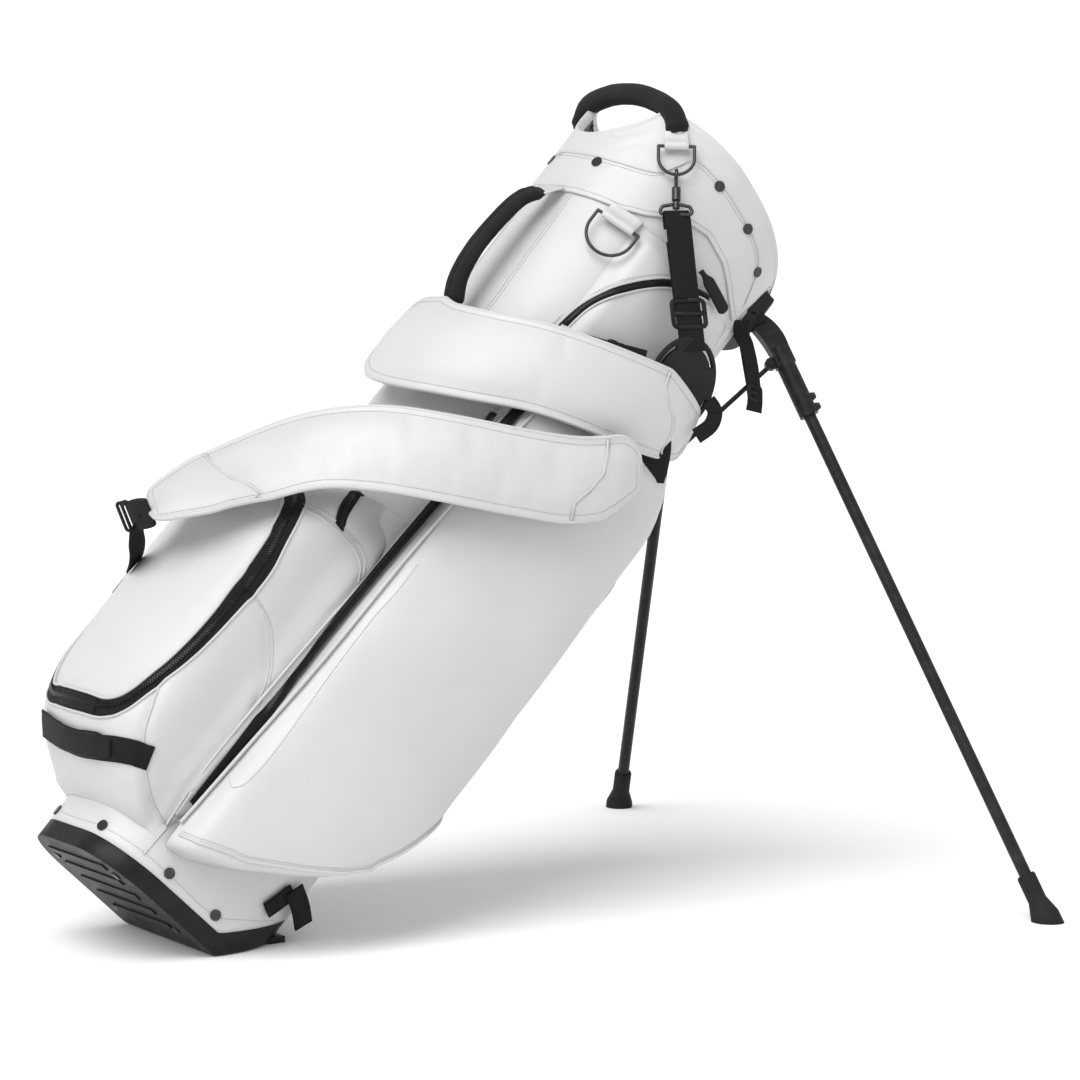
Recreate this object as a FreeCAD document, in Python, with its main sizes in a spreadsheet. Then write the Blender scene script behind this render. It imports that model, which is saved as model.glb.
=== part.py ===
"""Golf stand bag: white covered club bag leaning on its two legs.

Every piece is drawn in the bag's own frame and then tilted as a whole.
Bag frame: u towards the legs, v across the bag (near side negative), w along the bag to its mouth.
Row frame: +Z up, floor at Z = 0, origin at the middle of the heel facet that rests on the floor.
"""
import FreeCAD, Part
import Sketcher
import math
import os
from FreeCAD import Placement, Rotation, Vector

DRIVING_SIZES = [
    # stance
    ("tilt", 43.1), ("heel_start", 45.5), ("band_start", 33.8), ("heel_reach", 45),
    # bag tube, from base to collar
    ("base_u", 105), ("base_v", 89), ("base_round", 60), ("mouth_u", 118), ("mouth_v", 108), ("mouth_round", 100),
    ("shell_wall", 3), ("shell_top", 786), ("band", 18), ("cup_wall", 4), ("cup_floor", 6),
    # moulded collar and its cover
    ("collar_foot", 788), ("collar_wall", 4), ("cover_wall", 2.4), ("rim_high", 893), ("rim_radius", 475),
    ("rim_peak", 100), ("notch_radius", 68), ("notch_low", 845), ("hem", 781),
    # stand
    ("pivot_u", 106), ("pivot_v", 65), ("pivot_w", 815), ("leg_drop", 59.7), ("leg_splay", 32.35),
    ("leg_offset", 11.8), ("leg_length", 643), ("leg_r", 6), ("leg_wall", 1), ("sleeve_r", 9.5),
    ("sleeve_start", 36), ("sleeve_end", 110), ("arm_thick", 13), ("pin_r", 3), ("fit", 0.05),
    ("boss_r", 8.6), ("rod_r", 2.4), ("rod_length", 240), ("knob_along", 48.7), ("foot_r", 9),
    # heel lever and its rods
    ("lever_thick", 6), ("lever_half", 66), ("lever_length", 84), ("heel_gap", 1.5),
    ("hinge_reach", 12), ("heel_rod_u", 92), ("heel_rod_v", 40), ("heel_rod_top", 470),
    # pockets
    ("side_depth", 50), ("ball_depth", 80), ("ball_top", 348), ("ball_low", 112), ("upper_depth", 13),
    # straps, rings and hardware
    ("web_width", 27), ("web_thick", 2), ("pad_thick", 15), ("hub_r", 46), ("hub_thick", 3.5),
    ("ring_wire", 1.6), ("ring_half", 17), ("wide_ring_half", 23), ("rivet_r", 5.2), ("rivet_high", 1.6), ("zip_width", 9),
    ("grip_r", 10.5), ("core_r", 4),
]

doc = FreeCAD.newDocument("StandBag")
sheet = doc.addObject("Spreadsheet::Sheet", "Sizes")
for row, (alias, value) in enumerate(DRIVING_SIZES, start=1):
    sheet.set("A%d" % row, alias)
    sheet.set("B%d" % row, str(value))
    sheet.setAlias("B%d" % row, alias)
doc.recompute()

PIECES = []
ORIGIN = Vector(0, 0, 0)
U_AXIS, V_AXIS, W_AXIS = Vector(1, 0, 0), Vector(0, 1, 0), Vector(0, 0, 1)
NEAR, FAR = -1, 1


def size(alias):
    return float(sheet.get(alias))


TILT = math.radians(size("tilt"))
BAG = Placement(
    Vector(-size("heel_start") * math.cos(TILT) - size("heel_reach"), 0, size("heel_start") * math.sin(TILT)),
    Rotation(V_AXIS, size("tilt")),
)


# ---------------------------------------------------------------- placing and booleans

def frame(origin, along, normal):
    """Placement whose x axis runs along `along` and whose z axis leans to `normal`."""
    x_axis = Vector(along).normalize()
    y_axis = Vector(normal).cross(x_axis).normalize()
    z_axis = x_axis.cross(y_axis)
    matrix = FreeCAD.Matrix(
        x_axis.x, y_axis.x, z_axis.x, origin.x,
        x_axis.y, y_axis.y, z_axis.y, origin.y,
        x_axis.z, y_axis.z, z_axis.z, origin.z,
        0, 0, 0, 1,
    )
    return Placement(matrix)


def tube_half(w, grow=0.0):
    """Half widths and corner radius of the bag tube at height w."""
    part = w / size("shell_top")
    half_u = size("base_u") + (size("mouth_u") - size("base_u")) * part + grow
    half_v = size("base_v") + (size("mouth_v") - size("base_v")) * part + grow
    corner = size("base_round") + (size("mouth_round") - size("base_round")) * part + grow
    return half_u, half_v, corner


def radial(phi):
    return Vector(math.cos(math.radians(phi)), math.sin(math.radians(phi)), 0)


def tube_radius(phi, w):
    """Distance from the bag axis to the tube's surface in direction phi."""
    half_u, half_v, corner = tube_half(w)
    out = radial(phi)
    inside, outside = 0.0, 300.0
    for _ in range(40):
        reach = (inside + outside) / 2
        across = max(abs(out.x) * reach - (half_u - corner), 0)
        along = max(abs(out.y) * reach - (half_v - corner), 0)
        if math.hypot(across, along) <= corner:
            inside = reach
        else:
            outside = reach
    return inside


def surface_normal(phi, w):
    half_u, half_v, corner = tube_half(w)
    point = radial(phi) * tube_radius(phi, w)
    core_u = max(min(point.x, half_u - corner), corner - half_u)
    core_v = max(min(point.y, half_v - corner), corner - half_v)
    return (point - Vector(core_u, core_v, 0)).normalize()


def on_surface(phi, w, off=0.0, radius=None, spin=0.0):
    """Frame on the tube, or on a round of the given radius: x round it, y up the bag, z outwards."""
    out = radial(phi) if radius else surface_normal(phi, w)
    point = radial(phi) * (radius or tube_radius(phi, w)) + out * off + W_AXIS * w
    return frame(point, Vector(-out.y, out.x, 0), out) * Placement(ORIGIN, Rotation(W_AXIS, spin))


def piece(obj, label, place=BAG):
    obj.Label = label
    obj.Placement = place
    PIECES.append(obj)
    return obj


def bind(obj, **formulas):
    for prop, formula in formulas.items():
        obj.setExpression(prop, formula)
    return obj


def feature(label, shape, place=BAG):
    obj = doc.addObject("Part::Feature", label)
    obj.Shape = shape
    return piece(obj, label, place)


def helper(name, shape):
    obj = doc.addObject("Part::Feature", name)
    obj.Shape = shape
    return obj


def box(name, place, length, width, height, centred=True):
    """Part box bound to the sheet, centred on x and y of its frame unless told otherwise."""
    obj = bind(doc.addObject("Part::Box", name), Length=length, Width=width, Height=height)
    doc.recompute([obj])
    if centred:
        place = place * Placement(Vector(-obj.Length.Value / 2, -obj.Width.Value / 2, 0), Rotation())
    obj.Placement = place
    return obj


def cylinder(name, place, radius, height):
    obj = bind(doc.addObject("Part::Cylinder", name), Radius=radius, Height=height)
    obj.Placement = place
    return obj


def boolean(kind, name, base, *tools):
    if kind == "Cut" and len(tools) == 1:
        obj = doc.addObject("Part::Cut", name)
        obj.Base, obj.Tool = base, tools[0]
        return obj
    if kind == "Cut":
        joined = doc.addObject("Part::MultiFuse", name + "_tools")
        joined.Shapes = list(tools)
        return boolean("Cut", name, base, joined)
    obj = doc.addObject("Part::MultiFuse" if kind == "Fuse" else "Part::MultiCommon", name)
    obj.Shapes = [base, *tools]
    return obj


def pad_body(label, draw, depth, place, local=BAG, both_ways=False):
    """PartDesign body: one sketch on its XY plane, padded by a formula from the sheet."""
    body = doc.addObject("PartDesign::Body", label + "_body")
    sketch = body.newObject("Sketcher::SketchObject", label + "_sketch")
    plane = [item for item in body.Origin.OriginFeatures if item.Role == "XY_Plane"][0]
    sketch.AttachmentSupport = [(plane, "")]
    sketch.MapMode = "FlatFace"
    draw(sketch)
    pad = body.newObject("PartDesign::Pad", label + "_pad")
    pad.Profile = sketch
    pad.setExpression("Length", depth)
    if both_ways:
        pad.SideType = "Symmetric"
    return piece(body, label, local * place)


# ---------------------------------------------------------------- outlines

def rounded_edges(half_x, half_y, corner, cx=0.0, cy=0.0):
    """Four sides and four corner arcs of a rounded rectangle in the XY plane."""
    corner = min(corner, half_x - 0.01, half_y - 0.01)
    inner_x, inner_y = half_x - corner, half_y - corner
    edges = []
    for turn, (side_x, side_y) in enumerate(((1, 1), (-1, 1), (-1, -1), (1, -1))):
        centre = Vector(cx + side_x * inner_x, cy + side_y * inner_y, 0)
        start = turn * math.pi / 2
        edges.append(Part.ArcOfCircle(Part.Circle(centre, W_AXIS, corner), start, start + math.pi / 2))
        first, after = edges[-1].EndPoint, ((-1, 1), (-1, -1), (1, -1), (1, 1))[turn]
        next_start = (turn + 1) * math.pi / 2
        second = Vector(cx + after[0] * inner_x + corner * math.cos(next_start),
                        cy + after[1] * inner_y + corner * math.sin(next_start), 0)
        edges.append(Part.LineSegment(first, second))
    return edges


def rounded_wire(half_x, half_y, corner, w):
    wire = Part.Wire([edge.toShape() for edge in rounded_edges(half_x, half_y, corner)])
    wire.translate(Vector(0, 0, w))
    return wire


def tube_solid(low, high, grow=0.0):
    """Filled bag tube between two heights."""
    wires = [rounded_wire(*tube_half(w, grow), w) for w in (low, high)]
    return Part.makeLoft(wires, True, True)


def spline_wire(points):
    curve = Part.BSplineCurve()
    curve.interpolate(Points=points, PeriodicFlag=True)
    return Part.Wire([curve.toShape()])


def loft(sections):
    """Smooth closed solid through rings of points."""
    solid = Part.makeLoft([spline_wire(points) for points in sections], True, False)
    if solid.Volume < 0:
        solid.reverse()
    return solid


def prism(points, direction):
    """Extruded polygon."""
    return Part.Face(Part.makePolygon(points + points[:1])).extrude(direction)


def side_profile(low, high, low_from, high_from):
    """Slab across the bag; each face is level, then rises with the heel facet from its own start."""
    rise, reach, wide = math.tan(TILT), 140.0, 260.0
    points = [Vector(-reach, -wide, low), Vector(low_from, -wide, low),
              Vector(reach, -wide, low + (reach - low_from) * rise),
              Vector(reach, -wide, high + (reach - high_from) * rise),
              Vector(high_from, -wide, high), Vector(-reach, -wide, high)]
    return prism(points, Vector(0, 2 * wide, 0))


def pipe(points, radius, bend):
    """Round rod through the points with rounded bends."""
    edges, start = [], points[0]
    for before, corner, after in zip(points, points[1:], points[2:]):
        back, ahead = (before - corner).normalize(), (after - corner).normalize()
        half = back.getAngle(ahead) / 2
        trim = bend / math.tan(half)
        first, last = corner + back * trim, corner + ahead * trim
        centre = corner + (back + ahead).normalize() * (bend / math.sin(half))
        middle = centre + (corner - centre).normalize() * bend
        edges += [Part.LineSegment(start, first).toShape(), Part.Arc(first, middle, last).toShape()]
        start = last
    edges.append(Part.LineSegment(start, points[-1]).toShape())
    path = Part.Wire(edges)
    ring = Part.Wire([Part.Circle(points[0], points[1] - points[0], radius).toShape()])
    return path.makePipeShell([ring], True, False, 1)


def ribbon(stations, thick):
    """Padded band: (phi, radius, w, width) stations round the bag, lofted into one soft solid."""
    centres = [radial(phi) * reach + W_AXIS * w for phi, reach, w, _ in stations]
    sections = []
    for index, (phi, _, _, width) in enumerate(stations):
        ahead = centres[min(index + 1, len(centres) - 1)] - centres[max(index - 1, 0)]
        place = frame(centres[index], ahead, radial(phi))
        half, deep = width / 2, thick / 2
        corners = [(half, 0), (half * 0.8, deep * 0.85), (0, deep), (-half * 0.8, deep * 0.85),
                   (-half, 0), (-half * 0.8, -deep * 0.85), (0, -deep), (half * 0.8, -deep * 0.85)]
        sections.append([place.multVec(Vector(0, across, out)) for across, out in corners])
    return loft(sections)


def strap(name, start, end, normal, width="Sizes.web_width", thick="Sizes.web_thick"):
    """Flat webbing between two points, lying flat to `normal`."""
    place = frame((start + end) * 0.5, end - start, normal)
    obj = bind(doc.addObject("Part::Box", name), Width=width, Height=thick)
    obj.Length = (end - start).Length
    doc.recompute([obj])
    shift = Vector(-obj.Length.Value / 2, -obj.Width.Value / 2, -obj.Height.Value / 2)
    obj.Placement = place * Placement(shift, Rotation())
    return obj


# ---------------------------------------------------------------- base

def build_base():
    start, wall, floor = size("heel_start"), size("cup_wall"), size("cup_floor") + size("lever_thick") + 2
    rise = size("heel_gap") / math.cos(TILT)
    outline = rounded_wire(size("base_u"), size("base_v"), size("base_round"), -20)
    block = Part.Face(outline).extrude(Vector(0, 0, 160))
    lift = side_profile(0, size("band"), start - rise / math.tan(TILT), size("band_start")).common(block)
    inner = Part.Face(rounded_wire(size("base_u") - wall, size("base_v") - wall,
                                   size("base_round") - wall, -20)).extrude(Vector(0, 0, 160))
    hollow = side_profile(floor, size("band") + 30, start, size("band_start")).common(inner)
    rod_holes = [cylinder("rod_hole_%d" % side, Placement(Vector(size("heel_rod_u"), side * size("heel_rod_v"), 20),
                                                          Rotation()), "Sizes.rod_r + 0.5", "80")
                 for side in (NEAR, FAR)]
    pin_hole = cylinder("pin_hole", heel_hinge(), "Sizes.pin_r / 2 + Sizes.fit", "140")
    cup = boolean("Cut", "base_cup_cut", helper("base_cup_block", lift), helper("base_cup_hollow", hollow),
                  helper("sole_recess", sole_block(0.2, 2.9)), helper("lever_recess", lever_block(1.2, 2.4)),
                  pin_hole, *rod_holes)
    piece(cup, "base_cup")

    plate = helper("sole_blank", sole_block(0, 2.5))
    ribs = [box("sole_rib_%d" % number, Placement(Vector(-80 + 22 * number, 0, -1.5), Rotation()),
                "8", "110", "1.5") for number in range(5)]
    piece(boolean("Fuse", "sole_plate_fuse", plate, *ribs), "sole_plate")
    heads = [cylinder("sole_screw_%d" % number, Placement(Vector(u, v, -1.4), Rotation()), "4.5", "1.4")
             for number, (u, v) in enumerate(((-69, 60), (-69, -60), (12, 60), (12, -60)))]
    piece(boolean("Fuse", "sole_screws_fuse", *heads), "sole_screws")


def sole_block(grow, high):
    outline = rounded_wire(53 + grow, 68 + grow, 36 + grow, 0)
    outline.translate(Vector(-34, 0, 0))
    return Part.Face(outline).extrude(Vector(0, 0, high))


def heel_slope():
    """Frame of the heel facet: x up the facet from its inner edge, z into the bag."""
    return frame(Vector(size("heel_start"), 0, 0), Vector(math.cos(TILT), 0, math.sin(TILT)),
                 Vector(-math.sin(TILT), 0, math.cos(TILT)))


def heel_hinge():
    """Frame of the heel lever's pin, z along it."""
    return heel_slope() * Placement(Vector(size("hinge_reach"), 70, size("lever_thick") / 2), Rotation(U_AXIS, 90))


def lever_block(grow, extra):
    """Heel lever plate, lying on the heel facet and hinged near the facet's inner edge."""
    half, start = size("lever_half") + grow, size("hinge_reach") - 4
    blank = Part.makeBox(size("lever_length") - start + 2 * grow, 2 * half, size("lever_thick") + extra,
                         Vector(start - grow, -half, 0))
    blank.Placement = heel_slope()
    return blank


def build_heel():
    """Hinged heel plate that the floor presses in when the bag leans, and the rods that it lifts."""
    bore = cylinder("lever_bore", heel_hinge(), "Sizes.pin_r / 2 + Sizes.fit", "140")
    grooves = [box("lever_groove_%d" % n, heel_slope() * Placement(Vector(25 + 14 * n, 0, -0.1), Rotation()),
                   "5", "96", "1.3") for n in range(4)]
    piece(boolean("Cut", "heel_lever_cut", helper("lever_blank", lever_block(0, 0)), bore, *grooves), "heel_lever")
    pin = cylinder("heel_pin_rod", Placement(), "Sizes.pin_r / 2", "140")
    piece(pin, "heel_pin", BAG * heel_hinge())

    reach = size("heel_rod_u") - size("heel_start") + size("rod_r")
    foot = reach * math.tan(TILT) + size("lever_thick") / math.cos(TILT) + 0.5
    rods = [cylinder("heel_rod_%d" % side, Placement(Vector(size("heel_rod_u"), side * size("heel_rod_v"), foot),
                                                     Rotation()), "Sizes.rod_r", "Sizes.heel_rod_top - %f" % foot)
            for side in (NEAR, FAR)]
    piece(boolean("Fuse", "heel_rods_fuse", *rods), "heel_rods")


def build_rivets():
    base = [cylinder("base_rivet_%d" % n, on_surface(phi, 28 if phi < -70 or phi > 70 else 92, 0.2),
                     "Sizes.rivet_r", "Sizes.rivet_high")
            for n, phi in enumerate((-156, -116, -78, 78, 116, 156))]
    piece(boolean("Fuse", "base_rivets_fuse", *base), "base_rivets")
    places = ((-161, 816), (-107, 862), (-81, 854), (-60, 836), (161, 816), (107, 862), (81, 854),
              (60, 836))
    snaps = [cylinder("collar_rivet_%d" % n, on_surface(phi, w, size("cover_wall") + 0.2),
                      "Sizes.rivet_r", "Sizes.rivet_high")
             for n, (phi, w) in enumerate(places)]
    piece(boolean("Fuse", "collar_rivets_fuse", *snaps), "collar_rivets")


# ---------------------------------------------------------------- tube and collar

def build_tube():
    top, wall = size("shell_top"), size("shell_wall")
    start = size("band_start")
    above_band = side_profile(size("band") + 0.05, 1400, start, start)
    outer = tube_solid(0, top).common(above_band)
    inner = tube_solid(-1, top + 5, -wall)
    piece(boolean("Cut", "bag_shell_cut", helper("shell_outer", outer), helper("shell_inner", inner)),
          "bag_shell")

    high = size("collar_foot")
    rods = [cylinder("stay_rod_%d" % n, Placement(Vector(su * 66, sv * 58, low), Rotation()),
                     "3.5", "%f" % (high - low - 2))
            for n, (su, sv, low) in enumerate(((-1, -1, 14.5), (-1, 1, 14.5), (1, -1, 62), (1, 1, 62)))]
    piece(boolean("Fuse", "stay_rods_fuse", *rods), "stay_rods")

    across = box("panel_across", Placement(Vector(0, 0, 96), Rotation()), "2 * Sizes.base_u - 26", "1.6",
                 "Sizes.collar_foot - 100")
    along = box("panel_along", Placement(Vector(0, 0, 96), Rotation()), "1.6", "2 * Sizes.base_v - 20",
                "Sizes.collar_foot - 100")
    piece(boolean("Fuse", "divider_panels_fuse", across, along), "divider_panels")


def rim_block(lift):
    """Everything below the collar's saddle-shaped rim."""
    radius = size("rim_radius") + lift
    drum = Part.makeCylinder(radius, 600, Vector(-size("rim_peak"), -300, size("rim_high") - size("rim_radius")),
                             V_AXIS)
    notch_r = size("notch_radius") - lift
    notch = Part.makeCylinder(notch_r, 120, Vector(-180, 0, size("notch_low") + size("notch_radius")), U_AXIS)
    return drum.cut(notch)


def build_collar():
    foot, wall, cover = size("collar_foot"), size("collar_wall"), size("cover_wall")
    below = rim_block(0)
    outer = tube_solid(foot, 960, -0.1).common(below)
    swings = [cylinder("collar_swing_%d" % side, leg_frame(side) * Placement(Vector(0, 0, -7.1), Rotation()),
                       "Sizes.boss_r + 2", "Sizes.arm_thick + 1.2") for side in (NEAR, FAR)]
    collar = boolean("Cut", "collar_cut", helper("collar_outer", outer),
                     helper("collar_inner", tube_solid(foot - 5, 965, -wall)), *swings)
    piece(collar, "top_collar")

    skin = tube_solid(size("hem"), 960, cover).common(rim_block(cover))
    skin = skin.cut(tube_solid(700, 960).common(rim_block(0.1)))
    skin = skin.cut(tube_solid(700, 965, -wall))
    hem_cut = Part.makeCylinder(42, 120, Vector(40, 0, size("hem") - 8), U_AXIS)
    window = Part.makeBox(90, 156, 70, Vector(64, -78, size("hem") - 8))
    skin = skin.cut(window).cut(hem_cut)
    feature("collar_cover", skin)

    top = 834
    ring_out = tube_solid(foot + 2, top, -wall - 0.3)
    ring_in = tube_solid(foot - 3, top + 5, -wall - 3.3)
    bars = Part.makeBox(260, 3, top - foot - 2, Vector(-130, -1.5, foot + 2))
    bars = bars.fuse(Part.makeBox(3, 260, top - foot - 2, Vector(-1.5, -130, foot + 2)))
    feature("club_divider", ring_out.cut(ring_in).fuse(bars.common(ring_out)).removeSplitter())


def handle_path():
    points = [(-84, -85, 876), (-101, -73, 897), (-109, -38, 907), (-111, 0, 909.5), (-109, 38, 907),
              (-101, 73, 897), (-84, 85, 876)]
    curve = Part.BSplineCurve()
    curve.interpolate(Points=[Vector(*point) for point in points])
    return Part.Wire([curve.toShape()])


def build_top_handle():
    path = handle_path()
    start, ahead = path.Edges[0].valueAt(0), path.Edges[0].tangentAt(0)

    def sweep(radius):
        ring = Part.Wire([Part.Circle(start, ahead, radius).toShape()])
        return path.makePipeShell([ring], True, True)

    solid_rim = tube_solid(700, 960, size("cover_wall")).common(rim_block(size("cover_wall") + 0.2))
    core = sweep(size("core_r"))
    feature("handle_core", biggest(core.cut(solid_rim)))
    feature("handle_grip", biggest(sweep(size("grip_r")).cut(sweep(size("core_r") + 0.05)).cut(solid_rim)))


# ---------------------------------------------------------------- stand

def leg_frame(side):
    """x along the leg, y outwards across it, z along the hinge pin."""
    drop, splay = math.radians(size("leg_drop")), math.radians(size("leg_splay"))
    along = Vector(math.sin(drop) * math.cos(splay), side * math.sin(drop) * math.sin(splay), -math.cos(drop))
    outwards = Vector(math.cos(drop) * math.cos(splay), side * math.cos(drop) * math.sin(splay), math.sin(drop))
    hinge = along.cross(outwards)
    return frame(Vector(size("pivot_u"), side * size("pivot_v"), size("pivot_w")), along, hinge)


def build_bracket():
    ears, slots, bores = [], [], []
    for side in (NEAR, FAR):
        leg = leg_frame(side)
        thick = size("arm_thick") / 2
        ear_wide = 2 * thick + 8
        ears.append(box("bracket_ear_%d" % side, leg * Placement(Vector(-12, 1, -ear_wide / 2), Rotation()),
                        "42", "20", "%f" % ear_wide))
        slots.append(box("bracket_slot_%d" % side, leg * Placement(Vector(0, 3, -thick - 0.3), Rotation()),
                         "23", "46", "Sizes.arm_thick + 0.6"))
        bores.append(cylinder("bracket_bore_%d" % side, leg * Placement(Vector(0, 0, -20), Rotation()),
                              "Sizes.pin_r + Sizes.fit", "40"))
        piece_pin = cylinder("leg_pin_%d" % side, leg * Placement(Vector(0, 0, -ear_wide / 2), Rotation()),
                             "Sizes.pin_r", "%f" % ear_wide)
        slots.append(cylinder("arm_swing_%d" % side, leg * Placement(Vector(0, 0, -thick - 0.3), Rotation()),
                              "13", "Sizes.arm_thick + 0.6"))
        slots += [box("arm_way_%d_%d" % (side, turn), leg * Placement(ORIGIN, Rotation(W_AXIS, -turn))
                      * Placement(Vector(30, 12, -thick - 0.3), Rotation()), "64", "36", "Sizes.arm_thick + 0.6")
                  for turn in (0, 14, 28, 42, 56)]
        ears.append(piece_pin)
    pins = [ears.pop(3), ears.pop(1)]
    spine = tube_solid(792, 842, 12).common(Part.makeBox(100, 152, 60, Vector(66, -76, 790)))
    blank = boolean("Fuse", "bracket_blank", helper("bracket_spine", spine), *ears)
    core = helper("bracket_core", tube_solid(700, 960, 0.05))
    piece(boolean("Cut", "bracket_cut", blank, core, *slots, *bores), "leg_bracket")
    piece(boolean("Fuse", "leg_pins_fuse", *pins), "leg_pins")


def arm_outline(sketch):
    offset, sleeve = size("leg_offset"), size("sleeve_r")
    top, low = offset + sleeve, offset - sleeve
    start = Vector(-3, 8, 0)
    shoulder = Vector(size("sleeve_start") + 2, top, 0)
    sketch.addGeometry([
        Part.Arc(start, Vector(14, 18.4, 0), shoulder),
        Part.LineSegment(shoulder, Vector(size("sleeve_start") + 20, top, 0)),
        Part.LineSegment(Vector(size("sleeve_start") + 20, top, 0), Vector(size("sleeve_start") + 20, low, 0)),
        Part.Arc(Vector(size("sleeve_start") + 20, low, 0), Vector(26, 0.4, 0), Vector(7.4, -4.4, 0)),
        Part.Arc(Vector(7.4, -4.4, 0), Vector(-3, -8, 0), start),
    ], False)


def build_leg(side, name):
    leg = BAG * leg_frame(side)
    half = size("arm_thick") / 2
    offset, sleeve_from, sleeve_to = size("leg_offset"), size("sleeve_start"), size("sleeve_end")
    along_x = Rotation(V_AXIS, 90)
    web = pad_body("arm_web_" + name, arm_outline, "Sizes.arm_thick", Placement(Vector(0, 0, -half), Rotation()),
                   local=Placement())
    PIECES.remove(web)
    boss = cylinder("arm_boss_" + name, Placement(Vector(0, 0, -half), Rotation()), "Sizes.boss_r",
                    "Sizes.arm_thick")
    sleeve = cylinder("arm_sleeve_" + name, Placement(Vector(sleeve_from, offset, 0), along_x),
                      "Sizes.sleeve_r", "Sizes.sleeve_end - Sizes.sleeve_start")
    lug = cylinder("arm_lug_" + name, Placement(Vector(size("knob_along"), -1.5, -3), Rotation()), "6", "6")
    mounts = [cylinder("screw_boss_%s_%d" % (name, n),
                       Placement(Vector(x, offset, 0), Rotation(U_AXIS, -90)), "4", "11.5")
              for n, x in enumerate((sleeve_to - 17, sleeve_to - 6))]
    blank = boolean("Fuse", "arm_blank_" + name, web, boss, sleeve, lug, *mounts)
    pivot = cylinder("arm_bore_" + name, Placement(Vector(0, 0, -15), Rotation()),
                     "Sizes.pin_r + Sizes.fit", "30")
    socket = cylinder("arm_socket_" + name, Placement(Vector(sleeve_from + 12, offset, 0), along_x),
                      "Sizes.leg_r + Sizes.fit", "100")
    eye = cylinder("lug_bore_" + name, Placement(Vector(size("knob_along"), -1.5, -8), Rotation()),
                   "Sizes.rod_r + Sizes.fit", "16")
    piece(boolean("Cut", "leg_arm_cut_" + name, blank, pivot, socket, eye), "leg_arm_" + name, leg)

    outer = cylinder("tube_outer_" + name, Placement(Vector(sleeve_from + 14, offset, 0), along_x),
                     "Sizes.leg_r", "Sizes.leg_length - Sizes.sleeve_start - 34")
    inner = cylinder("tube_inner_" + name, Placement(Vector(sleeve_from + 10, offset, 0), along_x),
                     "Sizes.leg_r - Sizes.leg_wall", "Sizes.leg_length")
    piece(boolean("Cut", "leg_tube_cut_" + name, outer, inner), "leg_tube_" + name, leg)

    heads = [cylinder("leg_screw_%s_%d" % (name, n),
                      Placement(Vector(x, offset + 11.5, 0), Rotation(U_AXIS, -90)), "3.2", "2.2")
             for n, x in enumerate((sleeve_to - 17, sleeve_to - 6))]
    piece(boolean("Fuse", "leg_screws_fuse_" + name, *heads), "leg_screws_" + name, leg)
    build_foot(side, name, leg)
    build_push_rod(side, name, leg)


def build_foot(side, name, leg):
    length, offset, radius = size("leg_length"), size("leg_offset"), size("foot_r")
    start = length - 48
    profile = [Vector(start, 0, 0), Vector(start, radius - 1, 0), Vector(start + 2, radius, 0),
               Vector(length - 22, radius, 0), Vector(length - 6, radius + 5, 0),
               Vector(length + 14, radius + 5, 0), Vector(length + 14, 0, 0)]
    blank = Part.Face(Part.makePolygon(profile + profile[:1])).revolve(ORIGIN, U_AXIS, 360)
    bore = Part.makeCylinder(size("leg_r") + size("fit"), 32, Vector(start - 4, 0, 0), U_AXIS)
    foot = blank.cut(bore)
    foot.translate(Vector(0, offset, 0))
    floor = Part.makeBox(3000, 3000, 400, Vector(-1500, -1500, -400))
    floor.Placement = leg.inverse() * floor.Placement
    feature("leg_foot_" + name, foot.cut(floor), leg)


def build_push_rod(side, name, leg):
    """Bent steel rod: a short end through the arm's lug, then down the bag towards its guide."""
    inner = side * 7.0
    knob = Vector(size("knob_along"), -1.5, 0)
    lean = Vector(33.7, -93.2, 0).normalize()
    end_out = knob + W_AXIS * (-inner * 0.6)
    elbow = knob + W_AXIS * inner
    route = [end_out, elbow, elbow + lean * size("rod_length")]
    feature("push_rod_" + name, pipe(route, size("rod_r"), 3.2), leg)


# ---------------------------------------------------------------- pockets

def ball_sections(grow):
    """Outline of the ball pocket at rising heights: (height, reach of its front, half width)."""
    sections = []
    for w, front, half in ((50, 116, 76), (70, 156, 84), (100, 187, 96), (150, 196, 102), (250, 198, 103),
                           (310, 197, 101), (350, 188, 94), (385, 154, 84), (410, 122, 72)):
        front, half = front + grow, half + grow
        back = -62
        deep = front + back
        flank = [(back, half * 0.98), (back - deep * 0.36, half + 2), (back - deep * 0.72, half),
                 (back - deep * 0.9, half * 0.66)]
        ring = [(u, -v) for u, v in flank] + [(-front, 0)] + flank[::-1] + [(back + 22, 0)]
        sections.append([Vector(u, v, w) for u, v in ring])
    return sections


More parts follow.
